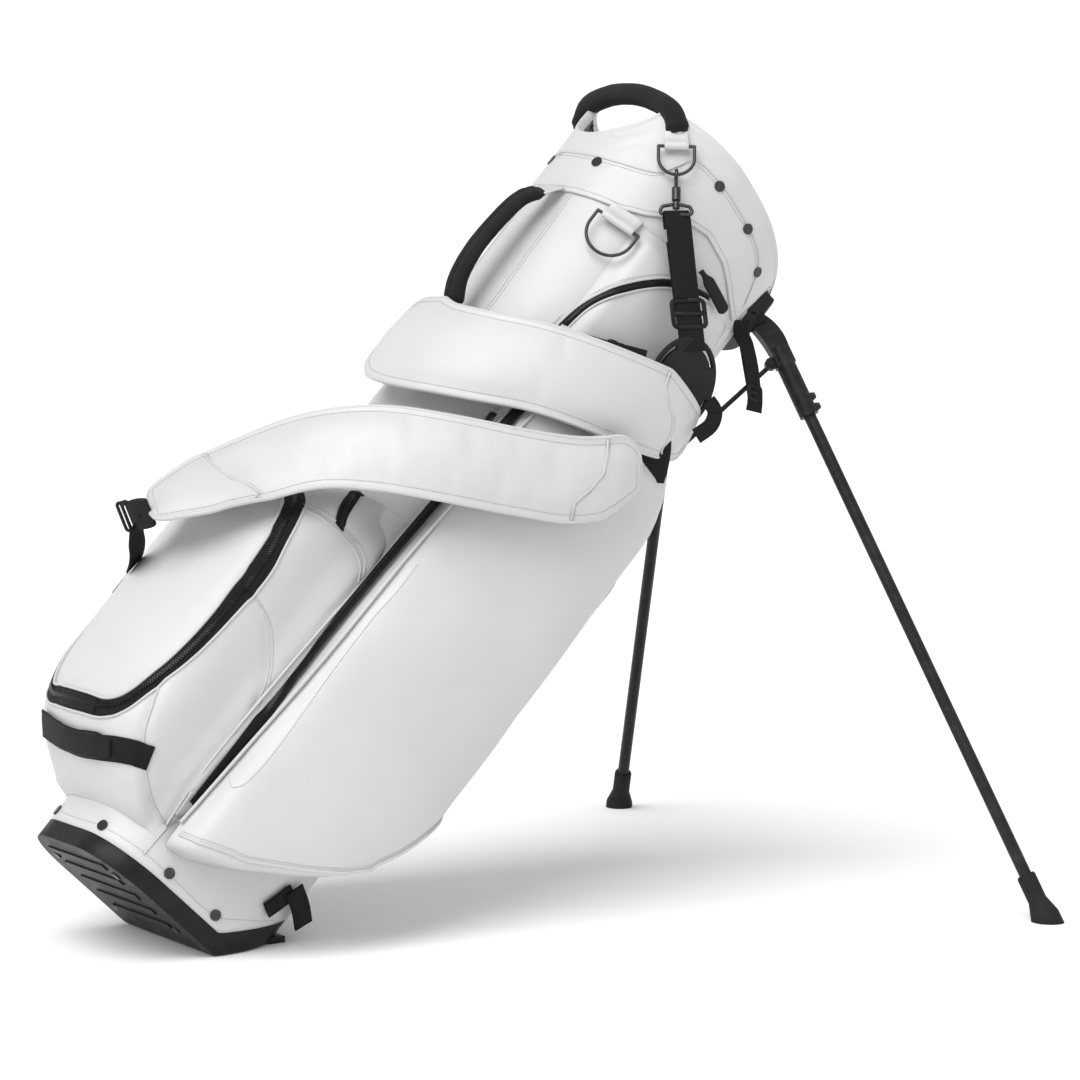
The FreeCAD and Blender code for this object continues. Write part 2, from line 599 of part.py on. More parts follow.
def build_pockets():
    core = tube_solid(-5, 800, 0.1)
    for side, name in ((NEAR, "near"), (FAR, "far")):
        full = [(-66, -96), (-70, -112), (-58, -138), (-20, -153), (30, -160), (82, -157), (115, -143),
                (120, -124), (108, -106), (76, -94), (40, -70), (-30, -70)]
        hug = [(-66, -92), (-66, -97), (-54, -104), (-20, -110), (30, -110), (70, -102), (84, -96),
               (88, -92), (86, -88), (76, -84), (40, -70), (-30, -70)]
        sections = []
        for w, share in ((30, 0.62), (90, 0.86), (180, 1.0), (400, 1.0), (560, 0.97), (625, 0.7), (690, 0.1)):
            ring = [(a[0] * share + b[0] * (1 - share), a[1] * share + b[1] * (1 - share))
                    for a, b in zip(full, hug)]
            sections.append([Vector(u, -side * v, w) for u, v in ring])
        solid = loft(sections).cut(core)
        slope = prism([Vector(-140, -300, -50), Vector(-140, -300, 40), Vector(-80, -300, 50),
                       Vector(-20, -300, 72), Vector(60, -300, 132), Vector(140, -300, 196),
                       Vector(140, -300, -50)], Vector(0, 600, 0))
        feature("side_pocket_" + name, biggest(solid.cut(slope)))

    ball = loft(ball_sections(0)).cut(core)
    blockers = [item.Shape.copy() for item in PIECES if item.Label.startswith("side_pocket")]
    for blocker in blockers:
        blocker.Placement = Placement()
        ball = ball.cut(blocker)
    feature("ball_pocket", biggest(ball))

    depth = size("upper_depth")
    sections = []
    for w, share in ((640, 0.35), (680, 0.9), (730, 1.0), (768, 0.5)):
        ring = []
        for phi in (-124, -112, -98, -84, -70, -60):
            reach = tube_radius(phi, w) + depth * share * (0.25 if phi in (-124, -60) else 1.0)
            ring.append(radial(phi) * reach + W_AXIS * w)
        ring += [radial(-70) * 60 + W_AXIS * w, radial(-98) * 60 + W_AXIS * w, radial(-120) * 60 + W_AXIS * w]
        sections.append(ring)
    upper = loft(sections).cut(core)
    upper = upper.cut(blockers[0])
    feature("upper_pocket", biggest(upper))

    outline = [Vector(112, 0, 440), Vector(166, 0, 450), Vector(178, 0, 500), Vector(178, 0, 542),
               Vector(165, 0, 550), Vector(112, 0, 556)]
    cushion = prism([point + Vector(0, -52, 0) for point in outline], Vector(0, 104, 0))
    cushion = cushion.makeFillet(3, [edge for edge in cushion.Edges if edge.Length > 100
                                     and edge.CenterOfMass.x > 120])
    feature("hip_pad", cushion.cut(core))


def biggest(shape):
    return max(shape.Solids, key=lambda solid: solid.Volume)


# ---------------------------------------------------------------- zips

def in_bag(label):
    """Copy of a finished piece's shape, back in the bag frame."""
    obj = [item for item in PIECES if item.Label == label][0]
    shape = obj.Shape.copy()
    shape.Placement = BAG.inverse() * shape.Placement
    return shape


def build_zips():
    side = in_bag("side_pocket_near")
    start, end = Vector(-72, -112, 92), Vector(-74, -110, 600)
    normal = Vector(-0.9, -0.42, 0)
    band = strap("side_zip_band", start, end, normal, "Sizes.zip_width", "6")
    doc.recompute()
    ball = in_bag("ball_pocket")
    tape = band.Shape.cut(side).cut(ball).cut(tube_solid(0, 780, 0.1))
    doc.removeObject(band.Name)
    feature("side_zip_tape", biggest(tape))
    place = frame(Vector(-76.6, -113.8, 535), W_AXIS, normal)
    piece(box("side_zip_runner", place, "14", "9", "4"), "side_zip_slider", BAG * place
          * Placement(Vector(-7, -4.5, 0), Rotation()))

    grown = loft(ball_sections(1.8))
    sides = Part.makeBox(16, 400, 218, Vector(-180, -200, 112))
    bottom = Part.makeBox(60, 400, 16, Vector(-215, -200, 103))
    band = grown.common(sides.fuse(bottom)).cut(loft(ball_sections(0.1)))
    feature("ball_zip_tape", biggest(band))
    probe = Vector(-194, 120, 250)
    touch = grown.distToShape(Part.Vertex(probe))[1][0][0]
    normal = (probe - touch).normalize()
    place = frame(touch + normal * 0.6, W_AXIS, normal)
    piece(box("ball_zip_runner", place, "14", "9", "4"), "ball_zip_slider", BAG * place
          * Placement(Vector(-7, -4.5, 0), Rotation()))

    stations = [(-126, 655), (-122, 690), (-114, 727), (-104, 755), (-92, 776)]
    path = [(phi, tube_radius(phi, w) + size("upper_depth") * 0.75 + 2, w, 9) for phi, w in stations]
    arc = ribbon(path, 3).cut(in_bag("upper_pocket")).cut(tube_solid(0, 780, 0.1))
    feature("upper_zip_tape", biggest(arc.cut(in_bag("side_pocket_near")).cut(in_bag("collar_cover"))))


# ---------------------------------------------------------------- rings, tabs and hook

def hanging_spin(phi):
    """Turn about the surface normal that points a tab straight down while the bag leans."""
    return math.degrees(math.atan2(math.sin(TILT) * -math.sin(math.radians(phi)), math.cos(TILT)))


def d_ring(name, place):
    alias = RINGS[name][3]
    half = "Sizes." + alias
    bend = bind(doc.addObject("Part::Torus", name + "_bend"), Radius1=half, Radius2="Sizes.ring_wire")
    bend.Angle3 = 180
    bend.Placement = Placement(Vector(0, -12, 0), Rotation(W_AXIS, 180))
    reach = size(alias)
    legs = [cylinder("%s_leg_%d" % (name, n), Placement(Vector(n * reach, -12, 0), Rotation(U_AXIS, -90)),
                     "Sizes.ring_wire", "12") for n in (-1, 1)]
    bar = cylinder(name + "_bar", Placement(Vector(-reach, 0, 0), Rotation(V_AXIS, 90)),
                   "Sizes.ring_wire", "2 * " + half)
    knees = []
    for n in (-1, 1):
        ball = bind(doc.addObject("Part::Sphere", "%s_knee_%d" % (name, n)), Radius="Sizes.ring_wire")
        ball.Placement = Placement(Vector(n * reach, 0, 0), Rotation())
        knees.append(ball)
    return piece(boolean("Fuse", name + "_fuse", bend, bar, *legs, *knees), name, BAG * place)


def ring_tab(name, place, ring_alias="ring_half"):
    """Leather tab folded round a ring's bar."""
    half = size(ring_alias) - 6
    wide = "2 * Sizes.%s - 12" % ring_alias
    roll = cylinder(name + "_roll", place * Placement(Vector(-half, 0, 0), Rotation(V_AXIS, 90)), "3.4", wide)
    leaf = box(name + "_leaf", place * Placement(Vector(0, 9, -3.4), Rotation()), wide, "18", "2")
    bore = cylinder(name + "_bore", place * Placement(Vector(-30, 0, 0), Rotation(V_AXIS, 90)),
                    "Sizes.ring_wire + 0.1", "60")
    return boolean("Cut", name + "_cut", boolean("Fuse", name + "_fuse", roll, leaf), bore)


# direction round the bag, height, distance off the tube and half width of each ring
RINGS = {"d_ring_near": (-133, 768, 8.2, "wide_ring_half"), "d_ring_spine": (166, 486, 5.6, "ring_half"),
         "collar_ring": (-133, 864, 9.6, "ring_half")}


def ring_place(name):
    """The wide ring lies along the bag; the others hang straight down."""
    phi, w, off, alias = RINGS[name]
    return on_surface(phi, w, off, spin=0 if alias == "wide_ring_half" else hanging_spin(phi))


def build_rings():
    for name in RINGS:
        d_ring(name, ring_place(name))
    tabs = [ring_tab("tab_" + name, ring_place(name), RINGS[name][3])
            for name in ("d_ring_near", "d_ring_spine")]
    blockers = helper("tab_blockers", in_bag("collar_cover"))
    piece(boolean("Cut", "d_ring_tabs_cut", boolean("Fuse", "d_ring_tabs_fuse", *tabs), blockers), "d_ring_tabs")
    stops = [helper("tab_stop_" + label, in_bag(label))
             for label in ("collar_cover", "collar_rivets", "handle_grip", "handle_core")]
    piece(boolean("Cut", "collar_ring_tab_cut", ring_tab("collar_tab", ring_place("collar_ring")), *stops),
          "collar_ring_tab")


def hook_place():
    """Frame of the snap hook: origin inside its eye, y up its shank, the eye in the yz plane."""
    return ring_place("collar_ring") * Placement(Vector(0, -12 - size("ring_half") - 1.9, 0), Rotation())


def build_hook():
    place = BAG * hook_place()
    eye = [Vector(0, 5.6 * math.sin(math.radians(a)), 5.6 * math.cos(math.radians(a)))
           for a in (-30, 20, 60, 90, 120, 150, 180)]
    curve = Part.BSplineCurve()
    curve.interpolate(Points=eye + [Vector(0, -5, -5.2), Vector(0, -10, -3.4), Vector(0, -16, 0)])
    path = Part.Wire([curve.toShape()])
    ring = Part.Circle(curve.value(curve.FirstParameter), Vector(*curve.tangent(curve.FirstParameter)[0]), 1.7)
    hook = path.makePipeShell([Part.Wire([ring.toShape()])], True, True)
    hook = hook.fuse(Part.makeCylinder(4.2, 13, Vector(0, -25, 0), V_AXIS))
    hook = hook.fuse(Part.makeCylinder(2.0, 6, Vector(0, -31, 0), V_AXIS))
    hook = hook.fuse(Part.makeCylinder(3.4, 2, Vector(0, -33, 0), V_AXIS))
    gate_low, gate_high = Vector(0, -12.2, 3.0), Vector(0, -5.6, 5.2)
    way = (gate_high - gate_low)
    gate = Part.makeCylinder(1.4, way.Length, gate_low, way)
    feature("snap_hook", hook.cut(Part.makeCylinder(1.9, way.Length + 1.6, gate_low - way.normalize() * 0.8, way)),
            place)
    feature("hook_gate", gate, place)

    swivel = Part.makeCylinder(3.6, 3, Vector(0, -30.6, 0), V_AXIS).cut(
        Part.makeCylinder(2.06, 20, Vector(0, -40, 0), V_AXIS))
    loop = pipe([Vector(-3.6, -29, 0), Vector(-13, -31, 0), Vector(-16.5, -39, 0), Vector(16.5, -39, 0),
                 Vector(13, -31, 0), Vector(3.6, -29, 0)], 1.7, 3)
    feature("swivel_loop", swivel.fuse(loop).cut(Part.makeCylinder(2.06, 20, Vector(0, -40, 0), V_AXIS)
            .fuse(Part.makeCylinder(3.5, 2.4, Vector(0, -33.2, 0), V_AXIS))), place)


# ---------------------------------------------------------------- straps and hub

PAD_LOWER = [(-178, 251, 290, 58), (-173, 231, 328, 76), (-166, 214, 374, 84), (-155, 203, 410, 88),
             (-142, 196, 439, 90), (-125, 189, 469, 86), (-107, 184, 501, 82), (-91, 184, 533, 76),
             (-79, 184, 575, 54)]
PAD_UPPER = [(160, 143, 566, 60), (172, 146, 560, 84), (-175, 148, 558, 92), (-160, 151, 560, 94),
             (-140, 154, 573, 94), (-119, 160, 593, 90), (-98, 164, 616, 86), (-78, 163, 643, 80),
             (-58, 161, 668, 56)]
HUB = (-73, 684, 148)


def build_straps():
    thick = size("pad_thick")
    feature("shoulder_pad_lower", ribbon(PAD_LOWER, thick))

    def draw_hub(sketch):
        sketch.addGeometry(Part.Circle(ORIGIN, W_AXIS, size("hub_r")), False)
        sketch.addConstraint(Sketcher.Constraint("Radius", 0, size("hub_r")))
        sketch.setExpression("Constraints[0]", "Sizes.hub_r")

    place = on_surface(HUB[0], HUB[1], radius=HUB[2])
    disc = pad_body("hub_disc", draw_hub, "Sizes.hub_thick", Placement(), local=place)
    PIECES.remove(disc)
    slots = []
    for turn in (62, 152, 242, 332):
        outer = Part.makeCylinder(size("hub_r") - 4, 10, Vector(0, 0, -1), W_AXIS, 46)
        slot = outer.cut(Part.makeCylinder(size("hub_r") - 8, 10, Vector(0, 0, -1), W_AXIS))
        slot.Placement = place * Placement(ORIGIN, Rotation(W_AXIS, turn))
        slots.append(helper("hub_slot_%d" % turn, slot))
    piece(boolean("Cut", "strap_hub_cut", disc, *slots), "strap_hub")
    doc.recompute()
    upper = ribbon(PAD_UPPER, thick).cut(in_bag("side_pocket_near")).cut(in_bag("strap_hub"))
    feature("shoulder_pad_upper", biggest(upper))

    out = radial(-97)
    high = hook_place().multVec(Vector(0, -39, 0))
    low = place.multVec(Vector(0, 33, 6.5))
    webbing = strap("hub_web", high + (low - high).normalize() * 2.5, low, out)
    doc.recompute()
    piece(boolean("Cut", "hub_webbing_cut", webbing, helper("hub_web_stop", in_bag("strap_hub"))), "hub_webbing")
    middle = frame(high * 0.28 + low * 0.72, low - high, out)
    rail = box("slider_plate", middle * Placement(Vector(0, 0, -3.2), Rotation()), "27", "36", "6.4")
    gap = box("slider_gap", middle * Placement(Vector(0, 0, -1.3), Rotation()), "60", "27.4", "2.6")
    piece(boolean("Cut", "hub_slider_cut", rail, gap), "hub_slider")


def build_small_straps():
    """Buckles, loose webbing, side handle, leg strap, hook-and-loop strap and the heel tab."""
    buckles, webs = [], []
    low_end = Vector(-246, 2, 264)
    buckles.append(box("buckle_low", frame(low_end, Vector(0, 0.5, -1), Vector(-1, 0, 0)), "30", "34", "7"))
    webs.append(strap("web_low", Vector(-238, 14, 244), Vector(-212, 44, 206), Vector(-1, 0.4, 0),
                      "22", "2"))
    high_end = on_surface(-108, 668, radius=144)
    buckles.append(box("buckle_high", high_end * Placement(ORIGIN, Rotation(W_AXIS, 22)), "44", "20", "7"))
    piece(boolean("Fuse", "strap_buckles_fuse", *buckles), "strap_buckles")
    webs.append(strap("web_right", on_surface(-52, 700, radius=154).Base, on_surface(-44, 642, radius=160).Base,
                      radial(-48)))
    webs.append(strap("web_lower", on_surface(-66, 640, radius=175).Base, on_surface(-72, 590, radius=177).Base,
                      radial(-70)))
    doc.recompute()
    stops = [helper("web_stop_" + label, in_bag(label))
             for label in ("side_pocket_near", "strap_hub", "ball_pocket", "shoulder_pad_upper", "hub_webbing")]
    piece(boolean("Cut", "strap_webbing_cut", boolean("Fuse", "strap_webbing_fuse", *webs), *stops), "strap_webbing")

    ends = [Vector(-134, -20, 762), Vector(-148, -18, 735), Vector(-152, -18, 688), Vector(-146, -20, 640),
            Vector(-134, -24, 616)]
    curve = Part.BSplineCurve()
    curve.interpolate(Points=ends)
    sections = []
    for share in (0, 0.25, 0.5, 0.75, 1.0):
        at = curve.FirstParameter + (curve.LastParameter - curve.FirstParameter) * share
        place = frame(curve.value(at), Vector(*curve.tangent(at)[0]), Vector(-1, -0.15, 0))
        sections.append([place.multVec(Vector(0, across, out)) for across, out in
                         ((13, 0), (10, 5), (0, 6.5), (-10, 5), (-13, 0), (-10, -5), (0, -6.5), (10, -5))])
    feature("side_handle_grip", loft(sections))
    tails = [strap("handle_tail_%d" % n, start, end, Vector(-1, -0.15, 0), "24", "2")
             for n, (start, end) in enumerate(((Vector(-133, -20, 763.4), Vector(-124, -18, 777)),
                                               (Vector(-133, -24, 614.4), Vector(-121, -26, 578))))]
    grip = helper("tail_stop", in_bag("side_handle_grip"))
    piece(boolean("Cut", "side_handle_tails_cut", boolean("Fuse", "side_handle_tails_fuse", *tails), grip),
          "side_handle_tails")

    top, mid, low = Vector(99, -84, 788), Vector(122, -102, 764), Vector(142, -111, 737)
    piece(boolean("Fuse", "leg_strap_fuse", strap("leg_strap_high", top, mid, Vector(0.1, -1, 0), "16", "1.6"),
                  strap("leg_strap_low", mid, low, Vector(0.1, -1, 0), "16", "1.6")), "leg_strap")

    band = loft(ball_sections(4)).common(Part.makeBox(120, 300, 24, Vector(-200, -150, 66)))
    band = band.cut(loft(ball_sections(1)))
    feature("pocket_strap", biggest(band))
    tab = prism([Vector(84, -66, 76), Vector(112, -66, 76), Vector(112, -66, 94), Vector(96, -66, 108)],
                Vector(0, 24, 0))
    feature("heel_tab", biggest(tab.cut(tube_solid(0, 500, 0.3))))

    place = on_surface(-88, 786, 8.0, spin=-35)
    pull = box("upper_pull_blank", place * Placement(Vector(22, 0, 6), Rotation()), "46", "10", "4")
    piece(pull, "upper_zip_pull", BAG * pull.Placement)


# ---------------------------------------------------------------- build, check and write

def check_document():
    doc.recompute()
    for obj in doc.Objects:
        if "Invalid" in obj.State or "Error" in obj.State:
            raise RuntimeError("failed object: %s (%s)" % (obj.Name, obj.State))
    for obj in PIECES:
        if obj.Shape.isNull() or not obj.Shape.isValid() or not obj.Shape.Solids:
            raise RuntimeError("bad shape: " + obj.Label)


def write_parts():
    os.makedirs("parts", exist_ok=True)
    for obj in PIECES:
        obj.Shape.exportStep("parts/%s.step" % obj.Label)
        print("%-22s solids %2d  volume %10.0f" % (obj.Label, len(obj.Shape.Solids), obj.Shape.Volume))


build_base()
build_heel()
build_rivets()
build_tube()
build_collar()
build_top_handle()
build_bracket()
for leg_side, leg_name in ((NEAR, "near"), (FAR, "far")):
    build_leg(leg_side, leg_name)
build_pockets()
doc.recompute()
build_zips()
build_rings()
build_hook()
build_straps()
build_small_straps()
check_document()
write_parts()
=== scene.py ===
"""Looks of the golf stand bag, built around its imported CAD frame.

Bag frame, in millimetres: u towards the legs, v across (near side negative), w along the bag to its mouth.
bag() turns it into the row frame, in metres. phi is the direction round the bag's axis, from +u towards +v.
"""
import math
from collections import namedtuple

import bpy
import numpy as np
from mathutils import Matrix, Vector, noise
from mathutils.bvhtree import BVHTree
from mathutils.kdtree import KDTree

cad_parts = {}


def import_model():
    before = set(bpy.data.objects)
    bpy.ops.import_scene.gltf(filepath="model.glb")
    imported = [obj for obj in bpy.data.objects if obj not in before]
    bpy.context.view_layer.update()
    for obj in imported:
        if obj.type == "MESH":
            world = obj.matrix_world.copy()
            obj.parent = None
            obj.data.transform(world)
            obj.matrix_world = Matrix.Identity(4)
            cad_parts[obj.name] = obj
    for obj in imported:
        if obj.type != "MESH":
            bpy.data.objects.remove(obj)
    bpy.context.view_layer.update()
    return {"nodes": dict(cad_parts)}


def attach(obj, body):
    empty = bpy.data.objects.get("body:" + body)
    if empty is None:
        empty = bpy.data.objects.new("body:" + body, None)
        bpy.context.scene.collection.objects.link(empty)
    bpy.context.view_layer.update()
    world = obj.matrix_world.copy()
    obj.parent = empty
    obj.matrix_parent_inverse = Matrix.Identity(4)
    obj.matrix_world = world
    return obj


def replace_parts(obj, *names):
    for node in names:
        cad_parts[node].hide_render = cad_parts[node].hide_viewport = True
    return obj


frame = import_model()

MM = 0.001
TILT = math.radians(43.1)
# along u: where the sole bends up, how far the heel reaches beyond it and where the base band rises; then the
# height of that band
HEEL_START, HEEL_REACH, BAND_START, BAND = 45.5, 45.0, 33.8, 18.0
BAG_ORIGIN = Vector((-HEEL_START * math.cos(TILT) - HEEL_REACH, 0, HEEL_START * math.sin(TILT)))
BAG_TURN = Matrix.Rotation(TILT, 3, "Y")
SHELL_TOP = 786.0
# the mouth's rim: an arc with its peak behind the axis, and a round notch under the top handle
RIM_HIGH, RIM_RADIUS, RIM_PEAK, NOTCH_RADIUS, NOTCH_LOW = 893.0, 475.0, 100.0, 68.0, 845.0
WAVE = 0.31416                 # scale at which a wave texture repeats once per metre
KEY_LIGHT, SKY_OVERHEAD = 2.9, 0.5
SKY_HORIZON, SKY_FADE = 1.15, (0.12, 0.40)
FLOOR = 60.0                   # half width of the floor, in metres
FAR_OUT = 330.0                # outside every pocket, where rays towards the bag start
LAID_STEP = 2.5                # spacing of the points of a laid line
HUB = {"phi": -73, "w": 684, "radius": 148}
# collar ring: straight part and half width; and the bar radius of the hook that hangs in it
RING_DROP, RING_HALF, HOOK_BAR = 12, 17, 1.9


# ---------------------------------------------------------------- camera, floor and light

def make_camera():
    """The photograph's view: a long lens from low on the near side."""
    azimuth, elevation, distance = math.radians(-32.23), math.radians(6.38), 4.0
    target = Vector((0.3563, 0.0003, 0.3449))
    back = Vector((math.sin(azimuth) * math.cos(elevation), -math.cos(azimuth) * math.cos(elevation),
                   math.sin(elevation)))
    data = bpy.data.cameras.new("camera")
    data.sensor_width = 36
    data.lens = 139.08
    data.clip_start, data.clip_end = 0.1, 60
    camera = bpy.data.objects.new("camera", data)
    bpy.context.scene.collection.objects.link(camera)
    camera.location = target + back * distance
    camera.rotation_mode = "QUATERNION"
    camera.rotation_quaternion = (-back).to_track_quat("-Z", "Y")
    bpy.context.scene.camera = camera


def sun(name, towards, strength, spread):
    """Soft light from a direction; spread is its size in the sky, in degrees."""
    data = bpy.data.lights.new(name, "SUN")
    data.energy = strength
    data.angle = math.radians(spread)
    lamp = bpy.data.objects.new(name, data)
    bpy.context.scene.collection.objects.link(lamp)
    lamp.rotation_mode = "QUATERNION"
    lamp.rotation_quaternion = (-Vector(towards)).to_track_quat("-Z", "Y")


def make_sky():
    """White round the horizon and softer overhead."""
    world = bpy.data.worlds.new("studio")
    world.use_nodes = True
    tree = world.node_tree
    sky = tree.nodes["Background"]
    sky.inputs["Color"].default_value = (1, 1, 1, 1)
    coords = tree.nodes.new("ShaderNodeTexCoord")
    split = tree.nodes.new("ShaderNodeSeparateXYZ")
    fade = tree.nodes.new("ShaderNodeMapRange")
    ends = (*SKY_FADE, SKY_HORIZON, SKY_OVERHEAD)
    for key, value in zip(("From Min", "From Max", "To Min", "To Max"), ends):
        fade.inputs[key].default_value = value
    tree.links.new(coords.outputs["Generated"], split.inputs["Vector"])
    tree.links.new(split.outputs["Z"], fade.inputs["Value"])
    tree.links.new(fade.outputs["Result"], sky.inputs["Strength"])
    bpy.context.scene.world = world


def make_studio():
    """A large soft key light, a weak fill and a pale floor."""
    make_sky()
    sun("key", (-0.62, -0.30, 0.95), KEY_LIGHT, 50)
    sun("fill", (0.9, -0.9, 0.5), 0.2, 70)
    bpy.context.scene.view_settings.view_transform = "Standard"
    bpy.context.scene.view_settings.look = "None"
    corners = [(-FLOOR, -FLOOR, 0), (FLOOR, -FLOOR, 0), (FLOOR, FLOOR, 0), (-FLOOR, FLOOR, 0)]
    mesh_object("studio_floor", corners, [(0, 1, 2, 3)], "floor", body=None)


# ---------------------------------------------------------------- materials

class Nodes:
    """Short hand for building one procedural material."""

    def __init__(self, name):
        self.material = bpy.data.materials.new(name)
        self.material.use_nodes = True
        self.tree = self.material.node_tree
        self.shader = self.tree.nodes["Principled BSDF"]
        self.coords = self.tree.nodes.new("ShaderNodeTexCoord")

    def feed(self, socket, value):
        """Links another socket to this one, or sets a plain value."""
        if isinstance(value, bpy.types.NodeSocket):
            self.tree.links.new(value, socket)
        else:
            socket.default_value = value

    def add(self, kind, **inputs):
        node = self.tree.nodes.new("ShaderNode" + kind)
        for key, value in inputs.items():
            self.feed(node.inputs[key.replace("_", " ")], value)
        return node

    def mapped(self, source="Object", scale=(1, 1, 1)):
        node = self.add("Mapping", Scale=scale)
        self.tree.links.new(self.coords.outputs[source], node.inputs["Vector"])
        return node.outputs["Vector"]

    def noise(self, vector, scale, detail=4.0, rough=0.55):
        node = self.add("TexNoise", Vector=vector, Scale=scale, Detail=detail, Roughness=rough)
        return node.outputs["Fac"]

    def ramp(self, value, low, high, from_low=0.3, from_high=0.7):
        node = self.add("MapRange", Value=value, From_Min=from_low, From_Max=from_high, To_Min=low,
                        To_Max=high)
        return node.outputs["Result"]

    def maths(self, operation, first, second):
        node = self.tree.nodes.new("ShaderNodeMath")
        node.operation = operation
        for socket, value in zip(node.inputs, (first, second)):
            self.feed(socket, value)
        return node.outputs["Value"]

    def blend(self, share, first, second):
        node = self.tree.nodes.new("ShaderNodeMix")
        node.data_type = "RGBA"
        for key, value in (("Factor", share), (6, first), (7, second)):
            self.feed(node.inputs[key], value)
        return node.outputs[2]

    def bump(self, height, distance, strength=1.0, under=None):
        node = self.add("Bump", Height=height, Distance=distance, Strength=strength)
        if under is not None:
            self.tree.links.new(under, node.inputs["Normal"])
        return node.outputs["Normal"]

    def plug(self, **inputs):
        for key, value in inputs.items():
            self.feed(self.shader.inputs[key.replace("_", " ")], value)
        return self.material


def grey(value, tint=0.0):
    """A grey that leans to blue with tint."""
    return (value * (1 - tint), value, value * (1 + tint), 1)


def leather(name, light, dark):
    """Pored synthetic leather with soft creases and cloudy tone."""
    make = Nodes(name)
    place = make.mapped()
    cells = make.add("TexVoronoi", Vector=place, Scale=1500.0, Randomness=1.0).outputs["Distance"]
    pores = make.noise(place, 700.0, 3.0)
    folds = make.noise(place, 26.0, 5.0)
    cloud = make.noise(place, 7.0, 3.0)
    colour = make.blend(make.ramp(cloud, 0.0, 1.0), grey(dark, 0.006), grey(light, 0.004))
    crease = make.bump(folds, 0.0006, 0.5)
    grain = make.bump(make.maths("ADD", cells, pores), 0.00012, 0.45, crease)
    rough = make.ramp(make.noise(place, 60.0), 0.40, 0.52)
    return make.plug(Base_Color=colour, Roughness=rough, Normal=grain, Specular_IOR_Level=0.42,
                     Coat_Weight=0.10, Coat_Roughness=0.35)


def moulded(name, value, low_rough, high_rough, grain=0.00008):
    """Plastic, rubber or paint: a fine grain, with paler and rougher scuffs."""
    make = Nodes(name)
    place = make.mapped()
    speck = make.noise(place, 2200.0, 2.0)
    scuff = make.noise(make.mapped(scale=(1, 1, 3)), 30.0, 6.0, 0.7)
    colour = make.blend(make.ramp(scuff, 0.0, 1.0, 0.45, 0.8), grey(value), grey(value * 1.8 + 0.004))
    return make.plug(Base_Color=colour, Roughness=make.ramp(scuff, low_rough, high_rough),
                     Normal=make.bump(speck, grain, 0.6), Specular_IOR_Level=0.2)


def woven(name, value, pitch_across, pitch_along):
    """Webbing: ribs across the strap and finer yarns along it, from the strap's own UV in metres."""
    make = Nodes(name)
    flat = make.mapped("UV")
    ribs = make.add("TexWave", Vector=flat, Scale=WAVE / pitch_along, Distortion=0.3, Detail=1.0)
    ribs.bands_direction = "X"
    yarns = make.add("TexWave", Vector=flat, Scale=WAVE / pitch_across, Distortion=0.4, Detail=1.0)
    yarns.bands_direction = "Y"
    weave = make.maths("MULTIPLY", ribs.outputs["Fac"], make.maths("ADD", yarns.outputs["Fac"], 0.6))
    fuzz = make.noise(make.mapped(), 900.0, 4.0)
    colour = make.blend(weave, grey(value * 0.45), grey(value * 1.5))
    bumps = make.bump(weave, 0.0004, 0.8, make.bump(fuzz, 0.0001, 0.5))
    return make.plug(Base_Color=colour, Roughness=make.ramp(fuzz, 0.62, 0.85), Normal=bumps,
                     Specular_IOR_Level=0.2)


def knitted(name, value):
    """Soft mesh cloth with small cells."""
    make = Nodes(name)
    place = make.mapped()
    cells = make.add("TexVoronoi", Vector=place, Scale=1100.0, Randomness=0.35).outputs["Distance"]
    cloud = make.noise(place, 25.0, 4.0)
    colour = make.blend(make.ramp(cloud, 0.0, 1.0), grey(value * 0.7), grey(value * 1.4))
    folds = make.bump(cloud, 0.0008, 0.5)
    return make.plug(Base_Color=colour, Roughness=0.86, Normal=make.bump(cells, 0.0003, 0.7, folds),
                     Specular_IOR_Level=0.2, Sheen_Weight=0.05)


def metal(name, value, rough):
    """Dark plated metal with worn patches."""
    make = Nodes(name)
    place = make.mapped()
    wear = make.noise(place, 160.0, 5.0, 0.7)
    colour = make.blend(make.ramp(wear, 0.0, 1.0, 0.55, 0.8), grey(value), grey(value * 2.2))
    return make.plug(Base_Color=colour, Metallic=0.85, Roughness=make.ramp(wear, rough, rough + 0.15),
                     Normal=make.bump(make.noise(place, 1500.0), 0.00003, 0.4))


def thread(name, value):
    """Twisted sewing thread."""
    make = Nodes(name)
    place = make.mapped()
    twist = make.add("TexWave", Vector=place, Scale=900.0, Distortion=0.5).outputs["Fac"]
    colour = make.blend(twist, grey(value * 0.8), grey(value))
    return make.plug(Base_Color=colour, Roughness=0.6, Normal=make.bump(twist, 0.0001, 0.5))


def make_floor_material():
    make = Nodes("floor")
    cloud = make.noise(make.mapped(), 2.0)
    colour = make.blend(make.ramp(cloud, 0.0, 1.0), grey(0.93), grey(0.95))
    return make.plug(Base_Color=colour, Roughness=0.75)


MATERIALS = {
    "cover": leather("cover", 0.54, 0.50),
    "piping": leather("piping", 0.52, 0.47),
    "moulding": moulded("moulding", 0.007, 0.36, 0.55),
    "rubber": moulded("rubber", 0.010, 0.62, 0.8, 0.00014),
    "coated": moulded("coated", 0.012, 0.30, 0.45, 0.00003),
    "black_metal": metal("black_metal", 0.05, 0.25),
    "webbing": woven("webbing", 0.007, 0.0016, 0.0021),
    "tape": woven("tape", 0.009, 0.0012, 0.0011),
    "knit": knitted("knit", 0.008),
    "teeth": moulded("teeth", 0.012, 0.22, 0.35, 0.00002),
    "white_thread": thread("white_thread", 0.42),
    "black_thread": thread("black_thread", 0.03),
    "loop": knitted("loop", 0.006),
    "lining": knitted("lining", 0.06),
    "floor": make_floor_material(),
}


